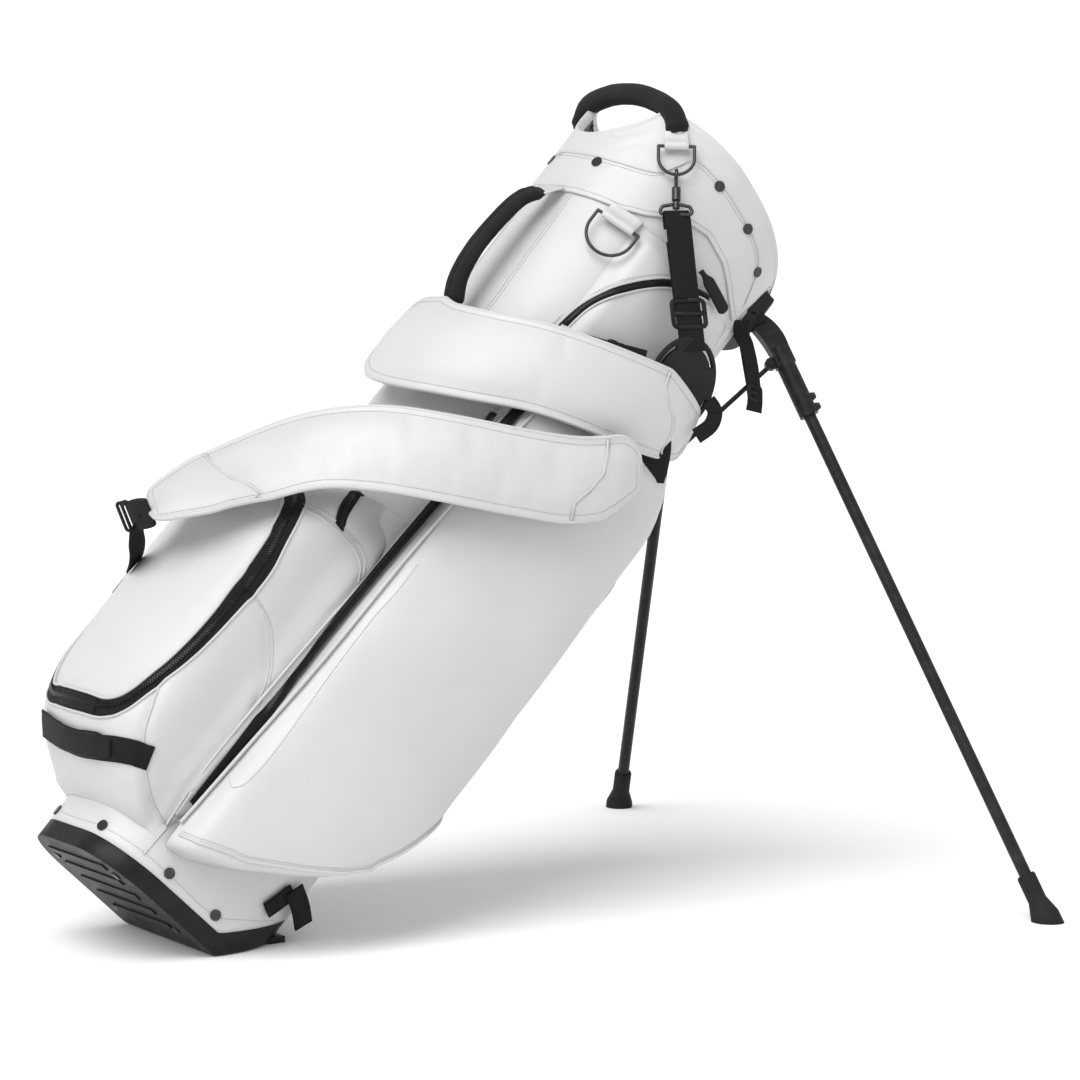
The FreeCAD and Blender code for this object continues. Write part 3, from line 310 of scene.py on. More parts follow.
# ---------------------------------------------------------------- bag geometry

def bag(u, v, w):
    return (BAG_TURN @ Vector((u, v, w)) + BAG_ORIGIN) * MM


def direction(u, v, w):
    return (BAG_TURN @ Vector((u, v, w))).normalized()


def radial(phi):
    return Vector((math.cos(math.radians(phi)), math.sin(math.radians(phi)), 0))


def tube_half(w, grow=0.0):
    part = w / SHELL_TOP
    return 105 + 13 * part + grow, 89 + 19 * part + grow, 60 + 40 * part + grow


def tube_reach(phi, w, grow=0.0):
    half_u, half_v, corner = tube_half(w, grow)
    out = radial(phi)
    inside, outside = 0.0, 320.0
    for _ in range(24):
        reach = (inside + outside) / 2
        across = max(abs(out.x) * reach - (half_u - corner), 0)
        along = max(abs(out.y) * reach - (half_v - corner), 0)
        if math.hypot(across, along) <= corner:
            inside = reach
        else:
            outside = reach
    return inside


def tube_point(phi, w, grow=0.0):
    out = radial(phi) * tube_reach(phi, w, grow)
    return bag(out.x, out.y, w)


def smooth_step(value, low, high):
    share = min(max((value - low) / (high - low), 0.0), 1.0)
    return share * share * (3 - 2 * share)


def curve_through(points, per_span=8, closed=False):
    """Catmull-Rom line through points of any dimension."""
    data = [np.array(p, float) for p in points]
    count = len(data)
    if closed:
        pick = lambda i: data[i % count]
        spans = count
    else:
        pick = lambda i: data[min(max(i, 0), count - 1)]
        spans = count - 1
    line = []
    for i in range(spans):
        a, b, c, d = pick(i - 1), pick(i), pick(i + 1), pick(i + 2)
        for k in range(per_span):
            t = k / per_span
            line.append(0.5 * (2 * b + (c - a) * t + (2 * a - 5 * b + 4 * c - d) * t * t
                               + (3 * b - a - 3 * c + d) * t ** 3))
    if not closed:
        line.append(data[-1])
    return line


def resample(points, spacing):
    """Points at even spacing along a polyline of Vectors."""
    points = [Vector(p) for p in points]
    steps = [0.0]
    for a, b in zip(points, points[1:]):
        steps.append(steps[-1] + (b - a).length)
    count = max(2, int(round(steps[-1] / spacing)) + 1)
    line, at = [], 0
    for k in range(count):
        goal = steps[-1] * k / (count - 1)
        while at < len(steps) - 2 and steps[at + 1] < goal:
            at += 1
        share = (goal - steps[at]) / max(steps[at + 1] - steps[at], 1e-9)
        line.append(points[at].lerp(points[at + 1], share))
    return line


# ---------------------------------------------------------------- mesh builders

def mesh_object(name, verts, faces, material, body="bag", uvs=None, smooth=True):
    """A mesh in one named material that rides on a body."""
    mesh = bpy.data.meshes.new(name)
    mesh.from_pydata([tuple(v) for v in verts], [], faces)
    if uvs is not None:
        layer = mesh.uv_layers.new(name="UVMap")
        for loop in mesh.loops:
            layer.data[loop.index].uv = uvs[loop.vertex_index]
    mesh.materials.append(MATERIALS[material])
    mesh.polygons.foreach_set("use_smooth", [smooth] * len(mesh.polygons))
    mesh.update()
    obj = bpy.data.objects.new(name, mesh)
    bpy.context.scene.collection.objects.link(obj)
    if body:
        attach(obj, body)
    return obj


def grid_faces(rows, columns, closed, caps=False):
    faces = []
    span = columns if closed else columns - 1
    for i in range(rows - 1):
        for j in range(span):
            k = (j + 1) % columns
            faces.append((i * columns + j, i * columns + k, (i + 1) * columns + k, (i + 1) * columns + j))
    if caps:
        faces.append(tuple(range(columns))[::-1])
        faces.append(tuple((rows - 1) * columns + j for j in range(columns)))
    return faces


def grid(name, rows, material, closed=False, caps=False, **options):
    verts = [p for row in rows for p in row]
    uvs, down = [], 0.0
    for i, row in enumerate(rows):
        if i:
            down += (Vector(row[0]) - Vector(rows[i - 1][0])).length
        along = 0.0
        for j, p in enumerate(row):
            if j:
                along += (Vector(p) - Vector(row[j - 1])).length
            uvs.append((down, along))
    faces = grid_faces(len(rows), len(rows[0]), closed, caps)
    return mesh_object(name, verts, faces, material, uvs=uvs, **options)


def path_frames(points, outs):
    """(point, along, across, out) at every point of a line that lies on a surface facing outs."""
    frames = []
    for i, point in enumerate(points):
        ahead = points[min(i + 1, len(points) - 1)] - points[max(i - 1, 0)]
        ahead = ahead.normalized()
        out = outs[i] if isinstance(outs, list) else outs
        across = out.cross(ahead).normalized()
        frames.append((point, ahead, across, ahead.cross(across).normalized()))
    return frames


def sweep(name, points, outs, profile, material, scale=None, **options):
    """Sweeps a closed profile of (across, out) millimetres along a line."""
    rows = []
    for i, (point, _, across, out) in enumerate(path_frames(points, outs)):
        wide, high = scale(i / (len(points) - 1)) if scale else (1.0, 1.0)
        rows.append([point + across * (a * wide * MM) + out * (o * high * MM) for a, o in profile])
    return grid(name, rows, material, closed=True, caps=True, **options)


def round_profile(radius, sides=10, lift=0.0):
    turns = [2 * math.pi * k / sides for k in range(sides)]
    return [(radius * math.cos(turn), radius * math.sin(turn) + lift) for turn in turns]


def band_profile(width, thick, crown=0.0, lift=0.0, steps=6):
    """Flat strap section with rounded edges; crown lifts its middle."""
    top = []
    for k in range(steps + 1):
        share = k / steps * 2 - 1
        top.append((share * width / 2, thick / 2 + crown * (1 - share * share) + lift))
    bottom = [(a, -thick / 2 + lift) for a, _ in reversed(top)]
    edge = thick * 0.28
    right = [(width / 2 + edge, lift + thick * 0.2), (width / 2 + edge, lift - thick * 0.2)]
    left = [(-width / 2 - edge, lift - thick * 0.2), (-width / 2 - edge, lift + thick * 0.2)]
    return top + right + bottom + left


def join_meshes(name, parts, material, **options):
    """One object from several (verts, faces) lists."""
    verts, faces = [], []
    for part_verts, part_faces in parts:
        start = len(verts)
        verts += part_verts
        faces += [tuple(i + start for i in face) for face in part_faces]
    return mesh_object(name, verts, faces, material, **options)


# one stitch, end to end: (place along its length, thickness, height), as shares of its length and radius
STITCH_RINGS = ((-0.5, 0.35, -0.5), (-0.3, 0.95, 0.35), (0.3, 0.95, 0.35), (0.5, 0.35, -0.5))
STITCH_RADIUS = 0.34


def stitch_part(centre, along, across, out, length, radius):
    """One thread stitch: a small capsule that dips in at its ends."""
    verts, sides = [], 6
    for step, fat, lift in STITCH_RINGS:
        for k in range(sides):
            turn = 2 * math.pi * k / sides
            verts.append(centre + along * (step * length) + across * (radius * fat * math.cos(turn))
                         + out * (radius * (fat * math.sin(turn) + lift)))
    return verts, grid_faces(len(STITCH_RINGS), sides, True, True)


def stitches(name, points, outs, material="white_thread", pitch=3.1, length=2.3):
    """A row of separate thread stitches along a laid line."""
    frames = path_frames(*respaced(points, outs, pitch))
    parts = [stitch_part(*place, length * MM, STITCH_RADIUS * MM) for place in frames]
    return join_meshes(name, parts, material)


class Surface:
    """Finished pieces that lines can be laid on."""

    def __init__(self, *objects):
        verts, faces = [], []
        graph = bpy.context.evaluated_depsgraph_get()
        for obj in objects:
            shown = obj.evaluated_get(graph)
            mesh = shown.to_mesh()
            start = len(verts)
            verts += [shown.matrix_world @ v.co for v in mesh.vertices]
            faces += [tuple(i + start for i in p.vertices) for p in mesh.polygons]
            shown.to_mesh_clear()
        self.tree = BVHTree.FromPolygons(verts, faces)

    def drop(self, start, towards, lift):
        """Point and outward normal where a ray from start meets the surface."""
        hit, normal, _, _ = self.tree.ray_cast(start, towards)
        if hit is None:
            hit, normal, _, _ = self.tree.find_nearest(start)
        if normal.dot(towards) > 0:
            normal = -normal
        return hit + normal * (lift * MM), normal

    def at(self, phi, w, lift=0.0):
        """Point and outward normal met from outside, at a direction round the bag and a height."""
        out = radial(phi) * FAR_OUT
        return self.drop(bag(out.x, out.y, w), direction(-out.x, -out.y, 0), lift)

    def line(self, stations, lift=0.0):
        """Lays a smooth line of (phi, w) stations on the surface."""
        return relax([self.at(phi, w, lift) for phi, w in curve_through(stations, 14)])


def kd_of(points):
    tree = KDTree(len(points))
    for i, p in enumerate(points):
        tree.insert(p, i)
    tree.balance()
    return tree


def unzipped(spots):
    """The points and the normals of a list of (point, normal) pairs."""
    return [point for point, _ in spots], [normal for _, normal in spots]


def relax(spots):
    """A laid line from (point, normal) pairs, with even spacing and gently smoothed normals."""
    points, outs = unzipped(spots)
    line = resample(points, LAID_STEP * MM)
    tree = kd_of(points)
    normals = []
    for q in line:
        normals.append(sum((outs[i] for _, i, _ in tree.find_n(q, 4)), Vector()).normalized())
    return line, normals


def settled(laid, rounds=300):
    """Irons the small steps out of a laid line."""
    line, outs = laid
    for _ in range(rounds):
        line = line[:1] + [(a + b + c) / 3 for a, b, c in zip(line, line[1:], line[2:])] + line[-1:]
        middle = [(a + b + c).normalized() for a, b, c in zip(outs, outs[1:], outs[2:])]
        outs = outs[:1] + middle + outs[-1:]
    return line, outs


def raised(line, outs, lift):
    return [p + out * (lift * MM) for p, out in zip(line, outs)]


def respaced(line, outs, spacing):
    """The same laid line at another spacing, in millimetres."""
    even = resample(line, spacing * MM)
    if not isinstance(outs, list):
        return even, outs
    tree = kd_of(line)
    return even, [outs[tree.find(q)[1]] for q in even]


def offset_line(line, outs, across):
    """The same line moved sideways on its surface by some millimetres."""
    return [p + side * (across * MM) for p, _, side, _ in path_frames(line, outs)], outs


def wrinkle(point, scale, height, seed=0.0):
    """Smooth random height in millimetres."""
    return noise.noise(Vector(point) * scale + Vector((seed, seed * 1.7, -seed))) * height


# ---------------------------------------------------------------- seam lines on the bag: (phi, w) stations

BIG_ZIP = [(-115, 610), (-118, 520), (-120, 437), (-122, 355), (-123, 272), (-124, 188), (-126, 130),
           (-127, 88)]
ZIP_LIP_NEAR = [(-111, 610), (-114, 520), (-116, 437), (-117.5, 355), (-118, 272), (-120, 188), (-122, 130),
                (-123, 82), (-124, 66)]
ZIP_LIP_FAR = [(-118, 610), (-121, 520), (-123.5, 437), (-126, 355), (-127.5, 272), (-129, 188),
               (-130, 130), (-131, 86), (-131, 60)]
FLAP_STITCH = [(-113, 380), (-113, 348), (-114, 316), (-114, 249), (-113, 170), (-114, 129), (-117, 116),
               (-120, 122)]
GUSSET_PIPING = [(-151, 146), (-148, 105), (-144, 80), (-139, 66), (-132, 60)]
CURVED_SEAM = [(-152, 275), (-149, 265), (-142, 256), (-136, 236), (-131, 212), (-129, 190)]
DOUBLE_PIPING = [(-154, 362), (-146, 368), (-138, 369), (-131, 361), (-127, 345)]
SMALL_ZIP = [(-152, 412), (-147, 392), (-143, 366)]
LID_EDGE = [(-172, 368), (-165, 364), (-159, 354), (-156, 342), (-154, 326), (-152, 304), (-151, 231),
            (-153, 170), (-157, 133), (-163, 115), (-172, 112), (-180, 111)]
LID_OUTER = [(-172, 384), (-163, 380), (-155, 368), (-150.5, 350), (-148, 325), (-146, 290), (-146, 250),
             (-148, 184), (-151.5, 140), (-156, 110), (-163, 98), (-172, 95), (-180, 94)]
HEM_NEAR = [(-180, 775), (-158, 778), (-138, 782), (-126, 792), (-111, 812), (-96, 819), (-80, 812),
            (-62, 793), (-50, 786), (-40, 784)]
CUFF_SEAM = [(-194, 824), (-170, 821), (-150, 824), (-134, 833), (-128, 850), (-123, 866), (-112, 866),
             (-97, 862), (-77, 854), (-64, 843), (-58, 830), (-52, 808)]
TUBE_SEAM = [(-163, 585), (-162, 640), (-163, 707), (-164, 774)]
UPPER_ZIP = [(-126, 645), (-123, 680), (-117, 707), (-109, 732), (-100, 752), (-90, 765), (-76, 776)]
STRAP_UNDER = [(-144, 92), (-152, 84), (-164, 77), (-176, 74), (-188, 76), (-200, 82)]
STRAP_OVER = [(-156, 82), (-166, 77.5), (-176, 75.5), (-188, 77.5), (-202, 84)]
BASE_STITCH = [(-199, 27), (-180, 26), (-159, 27), (-133, 28), (-113, 27), (-79, 27), (-62, 44), (-48, 62)]


def mirrored(stations):
    """A line that ends at phi -180 carried on to the far side."""
    return stations + [(-360 - phi, w) for phi, w in reversed(stations[:-1])]


def far_side(stations):
    return [(-phi, w) for phi, w in stations]


# ---------------------------------------------------------------- tube and collar cuff

def low_edge(phi):
    """Height of the moulded base band's upper edge."""
    w = BAND
    for _ in range(8):
        u = tube_reach(phi, w) * math.cos(math.radians(phi))
        w = BAND + max(0.0, u - BAND_START) * math.tan(TILT)
    return w + 0.2


SHELL_EDGE, SHELL_RISE = 812.0, 14.0


def build_shell():
    rows, columns = 160, 144
    skin = []
    for i in range(rows + 1):
        row = []
        for j in range(columns):
            phi = 360 * j / columns
            low = low_edge(phi)
            top = SHELL_EDGE + SHELL_RISE * smooth_step(abs((phi + 180) % 360 - 180), 62, 74)
            w = low + (top - low) * i / rows
            slack = smooth_step(w, low, low + 30) * (1 - smooth_step(w, 750, 775))
            sag = slack * abs(wrinkle((j / 9.0, i / 11.0, 0), 1.0, 1.3, 3.0))
            row.append(tube_point(phi, w, 0.1 - sag))
        skin.append(row)
    shell = grid("shell_skin", skin, "cover", closed=True)
    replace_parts(thicken(shell, 2.4), "bag_shell")
    return shell


def thicken(obj, depth):
    solid = obj.modifiers.new("thickness", "SOLIDIFY")
    solid.thickness = depth * MM
    solid.offset = -1
    return obj


def rim_height(u, v, lift):
    radius = RIM_RADIUS + lift
    high = RIM_HIGH - RIM_RADIUS + math.sqrt(max(radius ** 2 - (u + RIM_PEAK) ** 2, 1.0))
    notch = NOTCH_RADIUS - lift
    if u < -60 and abs(v) < notch:
        high = min(high, NOTCH_LOW + NOTCH_RADIUS - math.sqrt(notch ** 2 - v ** 2))
    return high


def cuff_low(phi):
    """Lower edge of the cuff: an arch over each pocket and a window round the leg bracket."""
    side = -abs((phi + 180) % 360 - 180)
    low = float(np.interp(side, [p for p, _ in HEM_NEAR], [w for _, w in HEM_NEAR]))
    v = tube_reach(phi, 800, 2.4) * math.sin(math.radians(phi))
    if side > -60:
        low = max(low, 844.0 - 62 * smooth_step(abs(v), 76, 96))
    return low


def cuff_rim(phi, lift=0.4):
    out = radial(phi) * tube_reach(phi, 860, 2.4)
    return rim_height(out.x, out.y, lift)


# the rolled rim, from outside to inside: (distance off the tube, height over the rim)
RIM_ROLL = ((4.2, 1.5), (2.8, 3.0), (0.6, 3.6), (-1.6, 3.4), (-3.6, 2.2), (-4.7, 0.2), (-4.8, -6))


def build_cuff():
    columns, rows = 288, 60
    turns = [360 * j / columns for j in range(columns)]
    skin = []
    for i in range(rows + 1):
        row = []
        for j, phi in enumerate(turns):
            low, high = cuff_low(phi), cuff_rim(phi)
            share = i / rows
            w = low + (high - low) * share
            sag = 0.9 * abs(wrinkle((j / 13.0, i / 10.0, 0), 1.0, 1.0, 5.0))
            roll = 1.6 * smooth_step(share, 0.93, 1.0)
            row.append(tube_point(phi, w, 3.0 + roll - sag))
        skin.append(row)
    for grow, up in RIM_ROLL:
        skin.append([tube_point(phi, cuff_rim(phi) + up, grow) for phi in turns])
    skin.insert(0, [tube_point(phi, cuff_low(phi) + 0.2, 0.6) for phi in turns])
    cuff = grid("collar_cuff", skin, "cover", closed=True)
    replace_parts(cuff, "collar_cover")
    return cuff


# ---------------------------------------------------------------- seams

def piping(name, laid, radius=1.15):
    return sweep(name, *laid, round_profile(radius, 8, lift=radius * 0.45), "piping")


def strip_between(name, surface, first, second, material, lift):
    """A band that fills the gap between two lines of stations."""
    rows, count, steps = [], 180, 10
    ends = [resample([Vector((*p, 0)) for p in curve_through(side, 14)], 1.0) for side in (first, second)]
    for i in range(count + 1):
        a, b = (end[round(i / count * (len(end) - 1))] for end in ends)
        row = []
        for k in range(steps + 1):
            share = k / steps
            phi, w = a.x + (b.x - a.x) * share, a.y + (b.y - a.y) * share
            crown = lift * (1 - (2 * share - 1) ** 4)
            row.append(surface.at(phi, w, 0.3 + crown)[0])
        rows.append(row)
    return grid(name, rows, material)


# ---------------------------------------------------------------- pockets

# sections of the side pocket, (u, v): full, and where it hugs the tube
SIDE_FULL = [(-66, -96), (-70, -112), (-58, -138), (-20, -153), (30, -160), (82, -157), (115, -143),
             (120, -124), (108, -106), (76, -94), (40, -70), (-30, -70)]
SIDE_HUG = [(-66, -92), (-66, -97), (-54, -104), (-20, -110), (30, -110), (70, -102), (84, -96),
            (88, -92), (86, -88), (76, -84), (40, -70), (-30, -70)]
# share of the full section, by height; the rest is the section that hugs the tube
SIDE_SHARE = [(30, 0.62), (90, 0.86), (180, 1.0), (400, 1.0), (560, 0.97), (610, 0.7), (655, 0.08)]
# (u, height) of the side pocket's lower edge
SIDE_BOTTOM = [(-140, 40), (-80, 50), (-20, 70), (30, 98), (60, 118), (85, 142), (100, 168), (115, 205),
               (125, 240)]
# ball pocket by height: how far its front stands out, and its half width
BALL_SHAPE = [(50, 116, 76), (70, 156, 84), (100, 187, 96), (150, 196, 102), (250, 198, 103),
              (310, 197, 101), (350, 188, 94), (385, 154, 84), (410, 122, 72)]
# swell of the upper pocket, by height
UPPER_SHARE = [(632, 0.2), (640, 0.35), (680, 0.9), (730, 1.0), (768, 0.8), (776, 0.7)]
SIDE_COLUMNS, SIDE_TOP, SIDE_WIDEST = 84, 655.0, 250
BALL_LOW, BALL_HIGH, BALL_BACK = 52, 408, -62
UPPER_LOW, UPPER_HIGH, UPPER_LIFT = 636, 782, 12
UPPER_FIRST, UPPER_LAST = -126, -48
ARCS = {}                      # sections of the side pocket made so far, by height


def table_at(w, table, column=1, blur=14.0):
    """Smoothed value at height w of a table of (height, value, ...)."""
    heights = [entry[0] for entry in table]
    values = [entry[column] for entry in table]
    return sum(np.interp(w + shift, heights, values) for shift in (-blur, 0, blur)) / 3


def open_arc(ring, first, last, columns):
    """Even stations along part of a smooth closed ring."""
    line = curve_through([(u, v, 0) for u, v in ring], 16, closed=True)
    part = [Vector(p) for p in line[int(first * 16):int(last * 16) + 1]]
    total = sum((b - a).length for a, b in zip(part, part[1:]))
    return resample(part, total / columns)[:columns + 1]


def side_arc(w):
    key = round(w)
    if key not in ARCS:
        share = table_at(key, SIDE_SHARE)
        ring = [(a[0] * share + b[0] * (1 - share), a[1] * share + b[1] * (1 - share))
                for a, b in zip(SIDE_FULL, SIDE_HUG)]
        ARCS[key] = open_arc(ring, 0, 9, SIDE_COLUMNS)
    return ARCS[key]


def side_floor(u):
    return float(np.interp(u, [a for a, _ in SIDE_BOTTOM], [b for _, b in SIDE_BOTTOM]))


def build_side_pocket(side, name):
    """The far pocket (side 1) mirrors the near one (side -1)."""
    rows = 130
    lows = [side_floor(p.x) for p in side_arc(SIDE_WIDEST)]
    wall = []
    for i in range(rows + 1):
        row = []
        for j in range(SIDE_COLUMNS + 1):
            w = lows[j] + (SIDE_TOP - lows[j]) * (i / rows)
            at = side_arc(w)[j]
            row.append((at.x, at.y, w))
        wall.append(row)
    floor = []
    for turn in (0.0, 0.25, 0.5, 0.7, 0.85, 0.95):
        row = []
        for u, v, w in wall[0]:
            phi = math.atan2(v, u)
            near, far = tube_reach(math.degrees(phi), w, 0.4), math.hypot(u, v)
            deep = max(far - near, 0.5)
            corner = min(9.0, deep)
            reach = near + (deep - corner) * min(turn / 0.7, 1.0) + corner * smooth_step(turn, 0.6, 1.05)
            drop = -1.5 - corner * (1 - smooth_step(turn, 0.65, 1.1)) * 0.8
            row.append((reach * math.cos(phi), reach * math.sin(phi), w + drop))
        floor.append(row)
    cap = []
    for u, v, w in wall[-1]:
        phi = math.degrees(math.atan2(v, u))
        out = radial(phi) * tube_reach(phi, w + 5, 0.2)
        cap.append((out.x, out.y, w + 5))
    skin = [[bag(u, -side * v, w) for u, v, w in row] for row in floor + wall + [cap]]
    if side < 0:
        skin = [row[::-1] for row in skin]
    pocket = grid("pocket_side_" + name, skin, "cover")
    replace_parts(pocket, "side_pocket_" + name)
    return pocket


def ball_ring(w):
    """Section of the ball pocket at height w: flank, front, flank and back."""
    front, half = (table_at(w, BALL_SHAPE, column, blur=7) for column in (1, 2))
    back, deep = BALL_BACK, front + BALL_BACK
    flank = [(back, half * 0.98), (back - deep * 0.36, half + 2), (back - deep * 0.72, half),
             (back - deep * 0.9, half * 0.66)]
    return [(u, -v) for u, v in flank] + [(-front, 0)] + flank[::-1] + [(back + 22, 0)]


def on_tube(u, v, w, grow):
    phi = math.degrees(math.atan2(v, u))
    out = radial(phi) * tube_reach(phi, w, grow)
    return bag(out.x, out.y, w)


def build_ball_pocket():
    columns, rows = 120, 90
    first, last = 0.25, 7.75
    heights = [BALL_LOW + (BALL_HIGH - BALL_LOW) * i / rows for i in range(rows + 1)]
    arcs = [open_arc(ball_ring(w), first, last, columns) for w in heights]
    skin = [[on_tube(p.x, p.y, BALL_LOW - 6, 0.4) for p in arcs[0]]]
    for w, arc in zip(heights, arcs):
        skin.append([bag(p.x, p.y, w) for p in arc])
    skin.append([on_tube(p.x, p.y, BALL_HIGH + 8, 0.4) for p in arcs[-1]])
    pocket = grid("pocket_ball", [row[::-1] for row in skin], "cover")
    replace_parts(pocket, "ball_pocket")
    return pocket


def build_upper_pocket():
    rows = []
    for i in range(45):
        w = UPPER_LOW + (UPPER_HIGH - UPPER_LOW) * i / 44
        row = []
        for j in range(61):
            phi = UPPER_FIRST + (UPPER_LAST - UPPER_FIRST) * j / 60
            edge = smooth_step(phi, UPPER_FIRST, UPPER_FIRST + 12)
            edge *= 1 - smooth_step(phi, UPPER_LAST - 12, UPPER_LAST)
            lift = UPPER_LIFT * table_at(w, UPPER_SHARE, blur=5) * edge
            lift *= 1 - smooth_step(w, UPPER_HIGH - 14, UPPER_HIGH) * 0.75
            row.append(tube_point(phi, w, 0.5 + lift))
        rows.append(row)
    pocket = grid("pocket_upper", rows, "cover")
    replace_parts(pocket, "upper_pocket")
    return pocket


def soften(obj, seams=(), puff=0.9, scale=14.0, seed=1.0, ripple=0.35):
    """Presses grooves along laid seam lines and adds the slack of stuffed leather."""
    trees = [(kd_of(line), depth, width) for (line, _), depth, width in seams]
    moves = []
    for vertex in obj.data.vertices:
        co = vertex.co
        shift = -abs(wrinkle(co, scale, puff, seed)) - abs(wrinkle(co, scale * 3.1, puff * 0.25, seed + 4))
        for tree, depth, width in trees:
            far = tree.find(co)[2]
            shift -= depth * math.exp(-(far / (width * MM)) ** 2) * (1 + ripple * noise.noise(co * 160))
            shift += ripple * math.exp(-(far / (width * 3.2 * MM)) ** 2) * noise.noise(co * 90)
        moves.append(co + vertex.normal * (shift * MM))
    for vertex, place in zip(obj.data.vertices, moves):
        vertex.co = place
    obj.data.update()


# ---------------------------------------------------------------- zips

# one tooth: its section (along the zip, outwards) as shares of its size, and the faces of a block
TOOTH = ((-0.5, -0.3), (0.5, -0.3), (0.42, 0.5), (-0.42, 0.5))
BLOCK = [(0, 1, 2, 3), (7, 6, 5, 4), (0, 4, 5, 1), (1, 5, 6, 2), (2, 6, 7, 3), (3, 7, 4, 0)]


def zip_teeth(name, line, outs, pitch=2.6, half=2.6):
    """Two rows of moulded teeth that lock along the middle of a zip."""
    parts = []
    frames = path_frames(*respaced(line, outs, pitch / 2))
    for i, (p, ahead, across, out) in enumerate(frames):
        side = 1 if i % 2 else -1
        centre = p + across * (side * half * 0.38 * MM) + out * (0.5 * MM)
        verts = []
        for a in (-0.5, 0.5):
            for x, y in TOOTH:
                verts.append(centre + ahead * (x * 1.15 * pitch / 2 * MM) + across * (a * half * MM)
                             + out * (y * 1.7 * MM))
        parts.append((verts, BLOCK))
    join_meshes(name, parts, "teeth", smooth=False)


def zip_run(name, laid, width):
    """A tape with its teeth."""
    line, outs = laid
    tape = sweep(name + "_tape", line, outs, band_profile(width, 1.0, crown=0.5, lift=0.6), "tape")
    zip_teeth(name + "_teeth", raised(line, outs, 1.1), outs)
    return tape


def zip_slider(name, place, node, body):
    """Two shields joined by a bridge, with a pull tab that lies along the zip."""
    rows = []
    for share in (0.0, 0.12, 0.3, 0.5, 0.7, 0.88, 1.0):
        half = 4.6 - 1.6 * share
        swell = 2.3 * math.sin(math.pi * min(max(share, 0.06), 0.94)) ** 0.4
        rows.append([world(place @ Vector((14 * share - 7, a * half, 0.4 + swell + o * swell)))
                     for a, o in round_profile(1.0, 14)])
    shield = grid(name, rows, "black_metal", closed=True, caps=True, body=body)
    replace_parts(shield, node)
    path = [(5, 0, 5.2), (0, 0, 6.4), (-9, 0, 6.0), (-22, 0, 5.0), (-26, 0, 4.6)]
    line = resample([world(place @ Vector(p)) for p in curve_through(path, 6)], 1.5)
    sweep(name + "_tab", line, axis_of(place), band_profile(5.4, 1.3), "rubber", body=body,
          scale=lambda s: (0.7 + 0.5 * smooth_step(s, 0.3, 0.6), 1.0))


# ---------------------------------------------------------------- frames on the tube

def world(point):
    """Millimetres in the bag frame to the row frame."""
    return bag(point.x, point.y, point.z)


def local(point):
    """The row frame, in metres, back to millimetres in the bag frame."""
    return BAG_TURN.transposed() @ (point / MM - BAG_ORIGIN)


QUARTER_TURN = Matrix.Rotation(math.pi / 2, 4, "Z")


def axis_of(place, axis=(0, 0, 1)):
    """One axis of a bag-frame place, outwards unless another is named, in the row frame."""
    return (world(place @ Vector(axis)) - world(place @ Vector((0, 0, 0)))).normalized()


def axes_frame(origin, along, normal):
    x_axis = Vector(along).normalized()
    y_axis = Vector(normal).cross(x_axis).normalized()
    z_axis = x_axis.cross(y_axis)
    turned = Matrix((x_axis, y_axis, z_axis)).transposed().to_4x4()
    return Matrix.Translation(origin) @ turned


def on_surface(phi, w, off=0.0, radius=None, spin=0.0):
    """Frame on the tube, or on a round of the given radius: x round it, y up the bag, z outwards."""
    out = radial(phi)
    point = out * (radius or tube_reach(phi, w))
    if not radius:
        half_u, half_v, corner = tube_half(w)
        core = Vector((min(max(point.x, corner - half_u), half_u - corner),
                       min(max(point.y, corner - half_v), half_v - corner), 0))
        out = (point - core).normalized()
    origin = point + out * off + Vector((0, 0, w))
    return axes_frame(origin, Vector((-out.y, out.x, 0)), out) @ Matrix.Rotation(math.radians(spin), 4, "Z")


def hanging_spin(phi):
    """Turn about the outward axis that points a frame's -y axis straight down."""
    return math.degrees(math.atan2(math.sin(TILT) * -math.sin(math.radians(phi)), math.cos(TILT)))


# direction round the bag, height, distance off the tube and half width of each ring
RINGS = {"d_ring_near": (-133, 768, 8.2, 23), "d_ring_spine": (166, 486, 5.6, 17),
         "collar_ring": (-133, 864, 9.6, RING_HALF)}


def ring_place(name):
    """The wide ring lies along the bag; the others hang straight down."""
    phi, w, off, half = RINGS[name]
    return on_surface(phi, w, off, spin=0 if half > 20 else hanging_spin(phi))


# ---------------------------------------------------------------- ribbons, tabs and buckles

def ribbon(name, points, normal, width, thick=1.8, material="webbing", scale=None):
    """Flat strap along smooth bag-frame points, facing a bag-frame normal."""
    line = resample([bag(*p) for p in curve_through(points, 10)], 2.0 * MM)
    return sweep(name, line, direction(*normal), band_profile(width, thick), material, scale=scale)


def bent_ribbon(name, line, across, width, thick, material):
    """Strap along a row-frame line, which bends only about its own width."""
    outs = []
    for i in range(len(line)):
        ahead = (line[min(i + 1, len(line) - 1)] - line[max(i - 1, 0)]).normalized()
        outs.append(ahead.cross(across).normalized())
    return sweep(name, line, outs, band_profile(width, thick), material)


